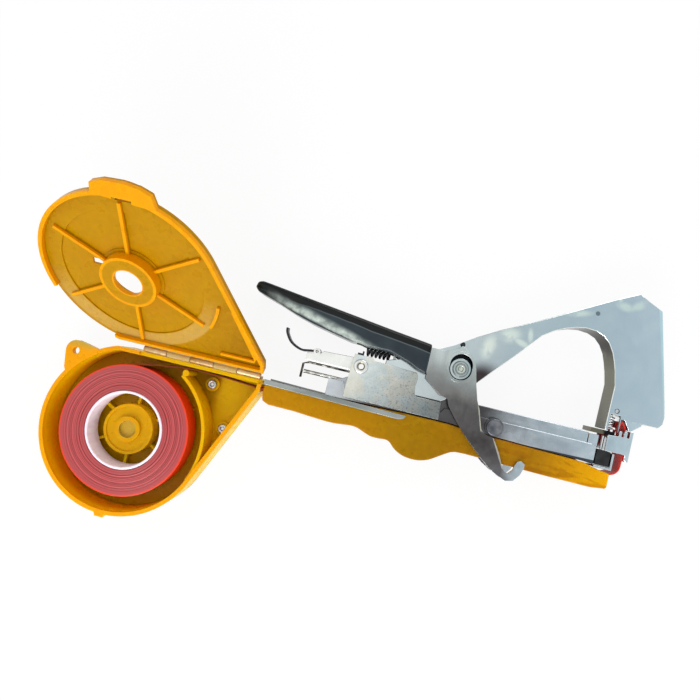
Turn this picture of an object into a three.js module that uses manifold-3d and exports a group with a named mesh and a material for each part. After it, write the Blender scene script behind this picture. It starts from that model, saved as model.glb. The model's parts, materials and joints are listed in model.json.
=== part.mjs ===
// Vine tying pliers: a hand tool that ties a vine to its wire with tape and a staple.
// Millimetres, +Z up. The tool lies on its side: +X runs from the tape case to the jaws,
// +Y from the grip to the arm, and the origin is the hub of the tape case on its back face.
import * as THREE from 'three';
import { mergeVertices } from 'three/addons/utils/BufferGeometryUtils.js';
import Module from 'manifold-3d';

const wasm = await Module();
wasm.setup();

// Driving dimensions
const reach = 100;          // scale of every side outline of the tool in front of the tape case
const midPlane = 11;        // the plane that the tool's two sides mirror in
const clearance = 0.3;      // between pieces that touch or slide
const overrun = 1;          // how far a cut runs past the face it opens

const tape = {
  width: 11, thickness: 0.5, wound: 13.2, coreRadius: 19.6, coreWall: 1.3, groove: 0.5, lead: 2, lift: 0.45,
};
const box = {
  room: 7.2, wall: 2, floor: 2, depth: 18, hubRadius: 12.7, hubTop: 10.4, hubRimWall: 1.4,
  hubRim: 0.6, bossRadius: 6.4, bossBore: 4.4, bossTop: 12, bossDimple: 1.6, ribWidth: 1.4, partition: 1.6,
  tabThickness: 3.2, lugWall: 3.4, lugBore: 1.8, slotHeight: 3.6, rivetBoss: 3.6, rivetBossTop: 4.6,
};
const lid = {
  plate: 1.8, rim: 2.4, rimWall: 1.8, ringRadius: 13, ringWall: 2, ringDrop: 5, hole: 6.6,
  cupEnd: 2.2, ribWidth: 1.5, ribDrop: 1.5, ribGap: 2.9, recess: 0.6, slotWidth: 2.3,
};
const lidOpenDegrees = 134;
const hinge = { pin: 0.7, knuckle: 1.6, bar: 1.5, barDrop: 6.4 };
const rivet = { shank: 1.3, head: 2.4, headHeight: 1, eyelet: 0.8, inset: 0.6 };
const grip = { half: 7.4, wall: 1.6 };
const rail = { thickness: 1 };
const base = { half: 6, wall: 1.2, web: 1.1 };
const bracket = { thickness: 1, web: 1.1, oval: 0.4, ovalHalfWidth: 1.3, ovalHalfHeight: 3.1 };
const arm = { thickness: 1.2 };
const lever = { half: 9, thickness: 1.2, slotRadius: 5.5, slotPlay: 1.8, ring: 1.3, ringHeight: 0.4 };
const sleeve = { wall: 1.4, round: 2 };
const armRivet = { barrel: 2.4, bore: 1.4, head: 3.5, headHeight: 1 };
const pin = {
  barrel: 2.4, washer: 5.1, head: 3.9, headHeight: 0.9, bevel: 0.3, dimple: 1.7, dimpleDepth: 0.4,
};
const fulcrum = { radius: 4.1, collar: 4.5, collarHeight: 1.1, tenon: 2.4, height: 3.3, bevel: 0.3 };
const magazine = { play: 0.4, wall: 1, pivot: 1.3, skin: 0.5 };
const staple = { wire: 0.6 };
const latch = { play: 0.9, wall: 1, leaf: 1.1, pin: 0.5, eye: 1.5 };
const pusher = { rod: 0.95, wire: 0.65, play: 0.4, bend: 1.1 };
const coil = { wire: 0.6, radius: 2, curls: 6, seat: 0.8, seatHalf: 2.4, stopPlay: 0.9 };
const catchCoil = { wire: 0.35, radius: 1.5, curls: 5 };
const pusherCoil = { wire: 0.35, radius: 1.9, curls: 10 };
const jaw = {
  step: 0.8, sheet: 1, overhang: 0.9, play: 0.4, pin: 0.9, tooth: 0.7, post: 0.7, postOffset: 3.2,
};
const blade = { thickness: 0.5, play: 0.5, cutterInset: 2 };
const stopPin = { radius: 1, stand: 0.6 };

// Places and outlines of the case and its lid, as shares of the case's radius measured from the hub
const neckShares = [1.4762, 0.8214];
const topShare = 0.9571;
const hingeEndShares = [0.0238, 1.4524];
const rivetShares = [[0.828, 0.75], [1.082, 0.251]];
const lugShares = [-0.774, 0.786];
const lugWebShares = [
  [-0.619, 0.629], [-0.84, 0.52], [-0.866, 0.57], [-0.896, 0.76], [-0.72, 0.902], [-0.5, 0.857],
];
const bottomTabShares = [[-0.095, -0.976], [-0.071, -1.036], [0.029, -1.036], [0.052, -0.976]];
const lipShares = [0.567, 0.829];
const lidRibShares = [[0.952, 0.821], [1.357, 0.821], [1.369, 0.774], [1.107, 0.143]];
const lidSnapShares = [
  [-0.262, -0.952], [-0.246, -1.064], [-0.119, -1.112], [0.071, -1.123], [0.238, -1.1], [0.352, -1.053],
  [0.393, -0.905],
];
const lidSlotShares = [-0.047, -0.955, 0.148];
const lidWindowShares = [[-0.435, -0.13], [-0.312, -0.13], [-0.312, -0.055], [-0.435, -0.055]];
const lidThinRimShares = [
  [-0.714, 0.238], [-1, 0.381], [-1, 1.071], [-0.333, 1.071], [-0.333, 0.81], [-0.619, 0.667],
];
const wallDegrees = [-24, 56];
const lidArcDegrees = [8, 28];

// Places and outlines of the tool, as shares of the reach. They are counted from the neck, where the
// case meets the grip, and the neck itself stands at these numbers.
const neckPlaceShares = [0.62, 0.345];
const armPivotShares = [1.077, 0.583];
const leverPinShares = [1.547, 0.682];
const fulcrumShares = [1.769, 0.447];
const magazinePinShares = [0.972, 0.466];
const catchPinShares = [2.325, 0.66];
const stopPinShares = [1.536, 0.802];
const coilShares = [1.08, 1.214];
const coilSeatShare = 1.046;
const armOutlineShares = [
  [1.05, 0.55], [1.1, 0.539], [1.32, 0.506], [1.49, 0.506], [1.57, 0.556], [1.642, 0.632], [1.7, 0.7],
  [1.8, 0.813], [1.86, 0.885], [1.9, 0.933], [1.95, 0.968], [2.0, 0.993], [2.05, 1.01], [2.1, 1.018],
  [2.15, 1.014], [2.19, 0.998], [2.22, 0.97], [2.245, 0.93], [2.26, 0.89], [2.275, 0.84], [2.288, 0.78],
  [2.286, 0.562], [2.35, 0.562], [2.352, 0.626], [2.53, 0.624], [2.547, 0.645], [2.55, 0.68], [2.541, 0.73],
  [2.529, 0.78], [2.506, 0.88], [2.478, 1.0], [2.436, 1.18], [2.36, 1.216], [2.315, 1.24], [2.2, 1.183],
  [2.1, 1.128], [2.0, 1.073], [1.9, 1.018], [1.8, 0.965], [1.7, 0.915], [1.6, 0.857], [1.5, 0.79],
  [1.4, 0.739], [1.3, 0.682], [1.253, 0.6625], [1.191, 0.6425], [1.197, 0.588], [1.13, 0.61], [1.095, 0.622],
  [1.064, 0.622], [1.042, 0.607], [1.037, 0.58],
];
const armHollowShares = [
  [1.0, 0.4], [1.57, 0.4], [1.66, 0.632], [1.72, 0.706], [1.82, 0.82], [1.87, 0.882], [1.91, 0.928],
  [1.955, 0.957], [1.965, 0.985], [2.0, 1.005], [2.05, 1.022], [2.1, 1.03], [2.155, 1.026], [2.198, 1.008],
  [2.231, 0.978], [2.257, 0.936], [2.273, 0.892], [2.287, 0.843], [2.3, 0.78], [2.298, 0.54], [2.535, 0.54],
  [2.538, 0.68], [2.517, 0.778], [2.494, 0.88], [2.466, 1.0], [2.424, 1.172], [2.355, 1.205], [2.316, 1.226],
  [2.2, 1.169], [2.1, 1.114], [2.0, 1.059], [1.9, 1.004], [1.8, 0.951], [1.7, 0.901], [1.6, 0.843],
  [1.5, 0.775], [1.4, 0.724], [1.3, 0.667], [1.28, 0.656], [1.27, 0.72], [1.0, 0.72],
];
const armWindowShares = [[2.3, 0.53], [2.348, 0.53], [2.348, 0.64], [2.3, 0.64]];
const leverBladeShares = [
  [1.394, 0.6], [1.4, 0.595], [1.48, 0.535], [1.518, 0.529], [1.532, 0.494], [1.576, 0.441], [1.624, 0.388],
  [1.682, 0.335], [1.729, 0.294], [1.782, 0.253], [1.824, 0.229], [1.87, 0.212], [1.906, 0.22],
  [1.932, 0.253], [1.944, 0.288], [1.944, 0.309], [1.926, 0.32], [1.909, 0.315], [1.9, 0.294],
  [1.894, 0.27], [1.876, 0.25], [1.859, 0.252], [1.844, 0.27], [1.816, 0.33], [1.774, 0.396], [1.734, 0.404],
  [1.708, 0.422], [1.696, 0.459], [1.679, 0.512], [1.659, 0.553], [1.638, 0.624], [1.62, 0.7], [1.609, 0.73],
  [1.582, 0.762], [1.535, 0.793], [1.52, 0.78], [1.495, 0.766], [1.47, 0.756], [1.445, 0.75], [1.394, 0.752],
];
const leverTangShares = [
  [1.394, 0.625], [1.35, 0.64], [1.3, 0.662], [1.25, 0.677], [1.2, 0.694], [1.08, 0.696], [1.0, 0.705],
  [0.9, 0.724], [0.8, 0.745], [0.7, 0.776], [0.62, 0.805], [0.56, 0.823], [0.54, 0.84], [0.56, 0.857],
  [0.8, 0.828], [1.0, 0.802], [1.2, 0.775], [1.394, 0.75],
];
const leverHollowShares = [
  [1.96, 0.1], [1.96, 0.9], [1.38, 0.9], [1.38, 0.738], [1.2, 0.762], [1.0, 0.789], [0.98, 0.73], [0.98, 0.1],
];
const leverStopShares = [0.646, 0.684, 0.77];
const sleeveCoreShares = [
  [1.4, 0.629], [1.35, 0.645], [1.3, 0.668], [1.25, 0.684], [1.2, 0.7], [1.085, 0.7], [1.05, 0.709],
  [1.0, 0.71], [0.9, 0.73], [0.8, 0.751], [0.7, 0.78], [0.62, 0.809], [0.55, 0.83], [0.512, 0.842],
  [0.504, 0.85], [0.506, 0.858], [0.515, 0.861], [0.55, 0.857], [0.8, 0.823], [1.0, 0.797], [1.2, 0.77],
  [1.4, 0.745],
];
const sleeveEndShares = [1.39, 0.5, 2.39, 0.9];
const sleeveMouthShares = [[1.03, 0.5], [1.41, 0.5], [1.41, 0.66], [1.25, 0.72], [1.03, 0.74]];
const gripBottomShares = [
  [0.637, 0.34], [0.65, 0.302], [0.8, 0.293], [0.9, 0.286], [1.0, 0.282], [1.05, 0.286], [1.1, 0.291],
  [1.13, 0.287], [1.17, 0.272], [1.2, 0.263], [1.24, 0.262], [1.28, 0.265], [1.3, 0.255], [1.32, 0.235],
  [1.35, 0.217], [1.38, 0.207], [1.42, 0.203], [1.46, 0.207], [1.5, 0.221], [1.53, 0.24], [1.56, 0.26],
  [1.6, 0.283], [1.65, 0.288], [1.86, 0.283], [2.335, 0.284], [2.345, 0.295],
];
const gripTopShares = [
  [2.345, 0.36], [2.27, 0.37], [2.22, 0.385], [1.78, 0.397], [1.55, 0.41], [1.37, 0.41], [0.64, 0.389],
];
const gripOpenShare = 0.5;
const gripMouthShares = [[0.6, 0.345], [2.4, 0.343], [2.4, 0.5], [0.6, 0.5]];
const railShares = [
  [0.634, 0.392], [0.638, 0.388], [1.31, 0.376], [1.335, 0.384], [1.345, 0.4], [0.634, 0.413],
];
const baseSideShares = [
  [0.935, 0.404], [1.37, 0.414], [1.55, 0.414], [1.78, 0.401], [2.22, 0.389], [2.266, 0.387], [2.266, 0.472],
  [2.24, 0.48], [1.52, 0.48], [1.505, 0.455], [1.02, 0.455], [1.012, 0.492], [0.935, 0.492],
];
const baseRoomShares = [0.9, 2.3, 0.6];
const bracketSideShares = [
  [1.023, 0.445], [1.025, 0.419], [1.5, 0.418], [1.495, 0.503], [1.375, 0.503], [1.362, 0.51], [1.356, 0.55],
  [1.36, 0.59], [1.35, 0.615], [1.29, 0.618], [1.195, 0.6235], [1.136, 0.6235], [1.13, 0.637], [1.035, 0.637],
  [1.033, 0.623],
];
const bracketWebShares = [1.035, 1.13, 0.626];
const ovalShares = [1.312, 0.545];
const magazineShares = [
  [0.94, 0.452], [0.955, 0.445], [2.22, 0.43], [2.223, 0.436], [2.223, 0.533], [1.05, 0.533], [0.99, 0.5],
  [0.94, 0.488],
];
const magazineHollowShares = [[1.03, 0.458], [2.3, 0.443], [2.3, 0.6], [1.0, 0.6], [1.03, 0.5]];
const rodSlotShares = [0.93, 0.484, 1.04, 0.6];
const gateShares = [2.227, 0.44, 2.273, 0.527];
const stapleShares = [1.49, 0.453, 2.215, 0.525];
const bladeShares = [2.246, 0.403, 0.49];
const latchHousingShares = [
  [0.8, 0.554], [1.045, 0.554], [1.045, 0.6], [1.03, 0.62], [0.88, 0.614], [0.865, 0.596], [0.8, 0.59],
];
const latchRoomShares = [0.79, 0.564, 1.03, 0.604];
const latchEarShares = [
  [0.83, 0.57], [0.865, 0.57], [0.865, 0.61], [0.855, 0.62], [0.84, 0.62], [0.83, 0.61],
];
const latchPinShares = [0.847, 0.605];
const leafShares = [
  [0.86, 0.603], [0.84, 0.606], [0.8, 0.6], [0.77, 0.596], [0.735, 0.606], [0.705, 0.624], [0.685, 0.65],
  [0.675, 0.67], [0.673, 0.688],
];
const pusherRodShares = [0.79, 0.4955];
const pullWireShares = [[1.28, 0.544], [0.79, 0.544], [0.79, 0.462]];
const pusherBlockShares = [1.4, 0.459, 1.484, 0.528];
const pusherCoilShares = [1.07, 1.385];
const noseBlockShares = [2.275, 0.388, 2.342, 0.46];
const noseFrameShares = [
  [2.27, 0.374], [2.357, 0.374], [2.357, 0.455], [2.347, 0.455], [2.347, 0.384], [2.27, 0.384],
];
const postShares = [2.299, 0.464, 0.53];
const cutterShares = [2.325, 0.464, 0.529];
const anvilShares = [2.226, 0.536, 2.34, 0.558];
const catchSideShares = [
  [2.305, 0.463], [2.4, 0.463], [2.4, 0.44], [2.41, 0.43], [2.42, 0.432], [2.42, 0.577], [2.404, 0.577],
  [2.404, 0.545], [2.392, 0.545], [2.392, 0.573], [2.378, 0.573], [2.378, 0.545], [2.366, 0.545],
  [2.366, 0.57], [2.354, 0.57], [2.352, 0.543], [2.305, 0.54],
];
const catchHollowShares = [[2.2, 0.3], [2.41, 0.3], [2.41, 0.7], [2.2, 0.7]];
const catchBlockShares = [
  [2.302, 0.644], [2.36, 0.63], [2.378, 0.623], [2.404, 0.58], [2.418, 0.58], [2.46, 0.615], [2.46, 0.65],
  [2.4, 0.67], [2.35, 0.684], [2.302, 0.684],
];
const catchCoilShares = [2.318, 0.566, 0.639];
const tapeLipShares = [0.583, 0.888];
const tapeRunShares = [
  [0.4, 0.373], [0.55, 0.364], [0.66, 0.358], [1.5, 0.356], [2.3, 0.355],
  [2.35, 0.355], [2.375, 0.364], [2.392, 0.385], [2.396, 0.42], [2.396, 0.46],
];
const tapeEndShares = [
  [2.394, 0.47], [2.396, 0.54], [2.387, 0.575], [2.372, 0.605], [2.362, 0.612], [2.357, 0.6], [2.356, 0.58],
];

// Colours, roughness and metalness of the finishes
const finishes = {
  amber: [0xd98a00, 0.25, 0], red: [0xc8261a, 0.45, 0], core: [0xe8c9bf, 0.8, 0], zinc: [0xb9bdb6, 0.5, 0.9],
  chrome: [0xa9b4bd, 0.2, 1], steel: [0xa3aaad, 0.35, 1], dark: [0x3a3d42, 0.5, 0.8],
  black: [0x14161a, 0.35, 0], brass: [0xb09050, 0.4, 0.9],
};

const degree = Math.PI / 180;
const rollRadius = tape.coreRadius + tape.wound;
const caseRadius = rollRadius + box.room + box.wall;
const hub = new THREE.Vector2(0, 0);
const onCase = ([x, y]) => new THREE.Vector2(x * caseRadius, y * caseRadius);
const neck = onCase(neckShares);
const along = (share) => neck.x + (share - neckPlaceShares[0]) * reach;
const up = (share) => neck.y + (share - neckPlaceShares[1]) * reach;
const at = ([x, y]) => new THREE.Vector2(along(x), up(y));
const outline = (shares) => new THREE.Shape(shares.map(at));
const caseOutline = (shares) => new THREE.Shape(shares.map(onCase));

// Heights on the near and far side of the middle plane
const near = (half) => midPlane + half;
const far = (half) => midPlane - half;

// Half widths that follow from what surrounds each piece
const armInner = base.half - arm.thickness;
const sleeveHalf = lever.half + sleeve.wall;
const magazineHalf = base.half - base.wall - magazine.play;
const magazineInner = magazineHalf - magazine.wall;
const pusherHalf = magazineInner - pusher.play;
const bladeHalf = magazineInner - blade.play;
const cutterHalf = base.half - blade.cutterInset;
const latchHalf = armInner - latch.play;
const anvilHalf = base.half - jaw.step;
const catchHalf = base.half + jaw.overhang;
const catchBlockHalf = armInner - jaw.play;

// Solids: closed three.js geometries handed over for joining and cutting
function solid(geometry) {
  geometry.deleteAttribute('normal');
  geometry.deleteAttribute('uv');
  const merged = mergeVertices(geometry);
  const vertProperties = merged.attributes.position.array;
  const triVerts = new Uint32Array(merged.index.array);
  return new wasm.Manifold(new wasm.Mesh({ numProp: 3, vertProperties, triVerts }));
}

function join(first, ...rest) {
  return rest.reduce((whole, next) => whole.add(next), first);
}

function cut(first, ...rest) {
  return rest.reduce((whole, next) => whole.subtract(next), first);
}

function plate(shape, low, high, curveSegments = 12) {
  const options = { depth: high - low, bevelEnabled: false, curveSegments };
  const geometry = new THREE.ExtrudeGeometry(shape, options);
  geometry.translate(0, 0, low);
  return solid(geometry);
}

// A smooth line through places of uneven spacing
function curved(places, steps) {
  const flat = places.map((p) => new THREE.Vector3(p.x, p.y, 0));
  const curve = new THREE.CatmullRomCurve3(flat, false, 'centripetal');
  return curve.getPoints(steps).map((p) => new THREE.Vector2(p.x, p.y));
}

function disc(centre, radius, low, high, segments = 24) {
  const geometry = new THREE.CylinderGeometry(radius, radius, high - low, segments);
  geometry.rotateX(Math.PI / 2);
  geometry.translate(centre.x, centre.y, (low + high) / 2);
  return solid(geometry);
}

function ring(centre, radius, bore, low, high, segments = 24) {
  const hole = disc(centre, bore, low - overrun, high + overrun, segments);
  return cut(disc(centre, radius, low, high, segments), hole);
}

// A disc through both sides of a channel, for boring it
function through(centre, radius, half, segments = 24) {
  return disc(centre, radius, far(half + overrun), near(half + overrun), segments);
}

function slab(x0, y0, z0, x1, y1, z1) {
  const geometry = new THREE.BoxGeometry(x1 - x0, y1 - y0, z1 - z0);
  geometry.translate((x0 + x1) / 2, (y0 + y1) / 2, (z0 + z1) / 2);
  return solid(geometry);
}

function bar([x0, y0, x1, y1], half) {
  return slab(along(x0), up(y0), far(half), along(x1), up(y1), near(half));
}

// A body of revolution about an axis along Z through centre; the profile is [radius, height] pairs
function turned(centre, profile, segments = 24) {
  const geometry = new THREE.LatheGeometry(profile.map(([r, z]) => new THREE.Vector2(r, z)), segments);
  geometry.rotateX(Math.PI / 2);
  geometry.translate(centre.x, centre.y, 0);
  return solid(geometry);
}

// Two mirrored copies of a side plate, joined only where other stock joins them
const sides = (shape, inner, outer) => [
  plate(shape, near(inner), near(outer)), plate(shape, far(outer), far(inner)),
];

// A thin band that follows a line in the XY plane
function band(line, thickness, low, high) {
  const half = thickness / 2;
  const normals = line.map((p, i) => {
    const before = line[Math.max(i - 1, 0)];
    const after = line[Math.min(i + 1, line.length - 1)];
    const direction = after.clone().sub(before).normalize();
    return new THREE.Vector2(-direction.y, direction.x).multiplyScalar(half);
  });
  const left = line.map((p, i) => p.clone().add(normals[i]));
  const right = line.map((p, i) => p.clone().sub(normals[i])).reverse();
  return plate(new THREE.Shape([...left, ...right]), low, high);
}

// A round wire that follows a path of 3D points
function wire(path, radius, steps, sidesRound = 8) {
  const section = new THREE.Shape();
  section.absarc(0, 0, radius, 0, 2 * Math.PI, false);
  const options = { steps, extrudePath: path, bevelEnabled: false, curveSegments: sidesRound / 2 };
  return solid(new THREE.ExtrudeGeometry(section, options));
}

const curlSteps = 8;
const curlSides = 5;

// A helical spring as one unbroken tube: place turns its own axes into the part's
function spring(name, { wire: wireRadius, curls }, length, radiusAt, place) {
  const steps = curls * curlSteps;
  const centres = [];
  for (let i = 0; i <= steps; i += 1) {
    const turn = (i / curlSteps) * 2 * Math.PI;
    const height = wireRadius + (length - 2 * wireRadius) * (i / steps);
    const radius = radiusAt(i / steps);
    centres.push(new THREE.Vector3(radius * Math.cos(turn), radius * Math.sin(turn), height));
  }
  const positions = [];
  centres.forEach((centre, i) => {
    const turn = (i / curlSteps) * 2 * Math.PI;
    const outward = new THREE.Vector3(Math.cos(turn), Math.sin(turn), 0);
    for (let k = 0; k < curlSides; k += 1) {
      const angle = (k / curlSides) * 2 * Math.PI;
      const point = centre.clone().addScaledVector(outward, wireRadius * Math.cos(angle));
      point.z += wireRadius * Math.sin(angle);
      positions.push(...place(point));
    }
  });
  const faces = [];
  for (let i = 0; i < steps; i += 1) {
    for (let k = 0; k < curlSides; k += 1) {
      const a = i * curlSides + k;
      const b = i * curlSides + ((k + 1) % curlSides);
      faces.push(a, a + curlSides, b, b, a + curlSides, b + curlSides);
    }
  }
  const last = steps * curlSides;
  for (let k = 1; k < curlSides - 1; k += 1) {
    faces.push(0, k, k + 1, last, last + k + 1, last + k);
  }
  let gap = Infinity;
  centres.forEach((p, i) => centres.slice(i + curlSteps / 2).forEach((q) => {
    gap = Math.min(gap, p.distanceTo(q) - 2 * wireRadius);
  }));
  console.log(`${name}: least gap to itself ${gap.toFixed(2)} mm`);
  const geometry = new THREE.BufferGeometry();
  geometry.setAttribute('position', new THREE.Float32BufferAttribute(positions, 3));
  geometry.setIndex(faces);
  return geometry;
}

function meshOf(name, geometry, finish) {
  const [color, roughness, metalness] = finishes[finish];
  geometry.computeVertexNormals();
  const material = new THREE.MeshStandardMaterial({ color, roughness, metalness, flatShading: true });
  const mesh = new THREE.Mesh(geometry, material);
  mesh.name = name;
  return mesh;
}

function piece(name, manifold, finish) {
  const result = manifold.getMesh();
  const geometry = new THREE.BufferGeometry();
  geometry.setAttribute('position', new THREE.Float32BufferAttribute(result.vertProperties, 3));
  geometry.setIndex(new THREE.Uint32BufferAttribute(result.triVerts, 1));
  return meshOf(name, geometry, finish);
}

// The tape case and its lid
const caseTop = topShare * caseRadius;
const hingeY = caseRadius;
const hingeZ = box.depth;
const partitionRadius = caseRadius - (box.partition + box.wall) / 2;
const tapeFar = far(tape.width / 2);
const tapeNear = near(tape.width / 2);
const slotFar = tapeFar - clearance;
const slotNear = tapeNear + clearance;
const ribTurnDegrees = 30;
const ribCount = 6;
const roundSegments = 32;

// The outline of the case and its lid: a circle drawn out to a corner at the neck
function teardrop(inset) {
  const radius = caseRadius - inset;
  const corner = new THREE.Vector2(neck.x - inset, neck.y + inset / 2);
  const topY = caseTop - inset;
  const tangent = Math.atan2(corner.y, corner.x) - Math.acos(radius / corner.length());
  const start = Math.PI - Math.asin(topY / radius);
  const shape = new THREE.Shape();
  shape.absarc(0, 0, radius, start, tangent + 2 * Math.PI, false);
  shape.lineTo(corner.x, corner.y);
  shape.lineTo(corner.x, topY);
  return shape;
}

const roundPlate = (inset, low, high) => plate(teardrop(inset), low, high, 26);
const hubRing = (radius, bore, low, high) => ring(hub, radius, bore, low, high, roundSegments);

function spokes(inner, outer, width, low, high) {
  const list = [];
  for (let i = 0; i < ribCount; i += 1) {
    const geometry = new THREE.BoxGeometry(outer - inner, width, high - low);
    geometry.translate((inner + outer) / 2, 0, (low + high) / 2);
    geometry.rotateZ(ribTurnDegrees * degree + (i / ribCount) * 2 * Math.PI);
    list.push(solid(geometry));
  }
  return list;
}

// A wall along the arc between the tape's room and the corner
function arcWall([from, to], thickness, low, high) {
  const line = [];
  const steps = 16;
  for (let i = 0; i <= steps; i += 1) {
    const angle = (from + (to - from) * (i / steps)) * degree;
    line.push(new THREE.Vector2(Math.cos(angle), Math.sin(angle)).multiplyScalar(partitionRadius));
  }
  return band(line, thickness, low, high);
}

function tapeCase() {
  const root = box.floor / 2;
  const shell = cut(roundPlate(0, 0, box.depth), roundPlate(box.wall, box.floor, box.depth + overrun));
  const lug = onCase(lugShares);
  const tabLow = box.depth - box.tabThickness;
  const lugDisc = disc(lug, box.lugBore + box.lugWall, tabLow, box.depth);
  const lugStock = plate(caseOutline(lugWebShares), tabLow, box.depth);
  const lugWeb = cut(lugStock, roundPlate(box.wall, 0, box.depth + overrun));
  const bottomTab = plate(caseOutline(bottomTabShares), 0, box.depth);
  const rivetBosses = rivetShares.map((place) => disc(onCase(place), box.rivetBoss, 0, box.rivetBossTop));
  const hubStep = disc(hub, box.hubRadius, root, box.hubTop, roundSegments);
  const hubRim = hubRing(box.hubRadius, box.hubRadius - box.hubRimWall, root, box.hubTop + box.hubRim);
  const boss = disc(hub, box.bossRadius, root, box.bossTop);
  const ribs = spokes(box.hubRadius - box.hubRimWall, rollRadius, box.ribWidth, root, slotFar);
  const wall = arcWall(wallDegrees, box.partition, root, slotNear);
  const lip = disc(onCase(lipShares), box.partition, root, slotNear);
  const outside = join(shell, lugDisc, lugWeb, bottomTab, ...rivetBosses);
  const filled = join(outside, hubStep, hubRim, boss, ...ribs, wall, lip);
  const bore = rivet.shank + clearance;
  const rivetBores = rivetShares.map((place) => disc(onCase(place), bore, -overrun, box.depth));
  const lugBore = disc(lug, box.lugBore, -overrun, box.depth);
  const recess = disc(hub, box.bossBore, box.bossTop - box.bossDimple, box.bossTop + overrun);
  const end = neck.x + overrun;
  const slot = slab(neck.x - 2 * box.wall, neck.y, slotFar, end, neck.y + box.slotHeight, slotNear);
  const hingeLow = hingeZ - hinge.knuckle;
  const hingeRoom = slab(-overrun, caseTop - box.wall, hingeLow, end, hingeY + overrun, box.depth + overrun);
  return piece('tape_case', cut(filled, ...rivetBores, lugBore, recess, slot, hingeRoom), 'amber');
}

function caseRivet(name, place) {
  const low = rivet.inset;
  const seat = box.rivetBossTop + clearance;
  const top = seat + rivet.headHeight;
  const profile = [
    [rivet.eyelet, low], [rivet.shank, low], [rivet.shank, seat], [rivet.head, seat],
    [rivet.head, top - rivet.headHeight / 2], [rivet.shank, top], [rivet.eyelet, top], [rivet.eyelet, low],
  ];
  return piece(name, turned(onCase(place), profile, 20), 'chrome');
}

// The lid's hinge: knuckles alternate between the steel bar and the lid along one pin
const [hingeStart, hingeEnd] = hingeEndShares.map((share) => share * caseRadius);
const knuckleCount = 5;
const everyKnuckle = Array.from({ length: knuckleCount }, (_, index) => index);
const barKnuckles = everyKnuckle.filter((index) => index % 2 === 0);
const lidKnuckles = everyKnuckle.filter((index) => index % 2 === 1);

function knuckleSpan(index) {
  const pitch = (hingeEnd - hingeStart) / knuckleCount;
  return [hingeStart + index * pitch + clearance / 2, hingeStart + (index + 1) * pitch - clearance / 2];
}

function onHinge(radius, from, to) {
  const geometry = new THREE.CylinderGeometry(radius, radius, to - from, 12);
  geometry.rotateZ(Math.PI / 2);
  geometry.translate((from + to) / 2, hingeY, hingeZ);
  return solid(geometry);
}

const hingeBore = () => onHinge(hinge.pin + clearance, hingeStart - overrun, hingeEnd + overrun);

function hingeBar() {
  const low = hingeZ - hinge.barDrop;
  const inner = caseTop + clearance;
  const outer = inner + hinge.bar;
  const stock = slab(hingeStart, inner, low, hingeEnd, outer, hingeZ - hinge.knuckle - clearance);
  const leaves = barKnuckles.map((index) => {
    const [from, to] = knuckleSpan(index);
    return join(onHinge(hinge.knuckle, from, to), slab(from, inner, low, to, outer, hingeZ));
  });
  return piece('hinge_bar', cut(join(stock, ...leaves), hingeBore()), 'steel');
}

function lidHingePin() {
  return piece('lid_hinge_pin', onHinge(hinge.pin, hingeStart, hingeEnd), 'steel');
}

// The lid is drawn closed and then swung open about its hinge
function caseLid() {
  const low = box.depth + clearance;
  const inner = low + lid.rim;
  const top = inner + lid.plate;
  const root = inner + lid.plate / 2;
  const ribLow = inner - lid.ribDrop;
  const tray = cut(roundPlate(0, low, top), roundPlate(lid.rimWall, low - overrun, inner));
  const recessInner = lid.ringRadius + lid.ribWidth;
  const recess = hubRing(rollRadius, recessInner, inner - overrun, inner + lid.recess);
  const thinRim = plate(caseOutline(lidThinRimShares), low - overrun, inner);
  const knuckleRooms = barKnuckles.map((index) => {
    const [from, to] = knuckleSpan(index);
    const edge = hingeY - hinge.knuckle - clearance;
    return slab(from - clearance, edge, low - overrun, to + clearance, hingeY + overrun, low + hinge.knuckle);
  });
  const leaves = lidKnuckles.map((index) => {
    const [from, to] = knuckleSpan(index);
    const edge = hingeY - hinge.knuckle - lid.rimWall;
    const leaf = slab(from, edge, low, to, hingeY, low + hinge.knuckle - clearance);
    return join(onHinge(hinge.knuckle, from, to), leaf);
  });
  const cupLow = inner - lid.ringDrop;
  const cupFloor = cupLow + lid.cupEnd;
  const cup = disc(hub, lid.ringRadius, cupLow, root, roundSegments);
  const cupRoom = disc(hub, lid.ringRadius - lid.ringWall, cupFloor, top + overrun, roundSegments);
  const ribEnd = caseRadius - lid.rimWall - lid.ribGap;
  const ribs = spokes(lid.ringRadius - lid.ringWall / 2, ribEnd, lid.ribWidth, ribLow, root);
  const cornerRib = band(lidRibShares.map(onCase), lid.ribWidth, ribLow, root);
  const arcRib = arcWall(lidArcDegrees, lid.ribWidth, ribLow, root);
  const snap = plate(caseOutline(lidSnapShares), low, root);
  const cleared = cut(tray, recess, thinRim, ...knuckleRooms);
  const filled = join(cleared, cup, ...ribs, cornerRib, arcRib, snap, ...leaves);
  const hole = disc(hub, lid.hole, cupLow - overrun, top + overrun);
  const [slotLeft, slotLow, slotRight] = lidSlotShares.map((share) => share * caseRadius);
  const slot = slab(slotLeft, slotLow, low - overrun, slotRight, slotLow + lid.slotWidth, top + overrun);
  const window = plate(caseOutline(lidWindowShares), low - overrun, top + overrun);
  const mesh = piece('case_lid', cut(filled, cupRoom, hole, slot, window, hingeBore()), 'amber');
  mesh.position.set(0, -hingeY, -hingeZ);
  const swing = new THREE.Group();
  swing.position.set(0, hingeY, hingeZ);
  swing.rotation.x = -lidOpenDegrees * degree;
  swing.add(mesh);
  return swing;
}

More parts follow.
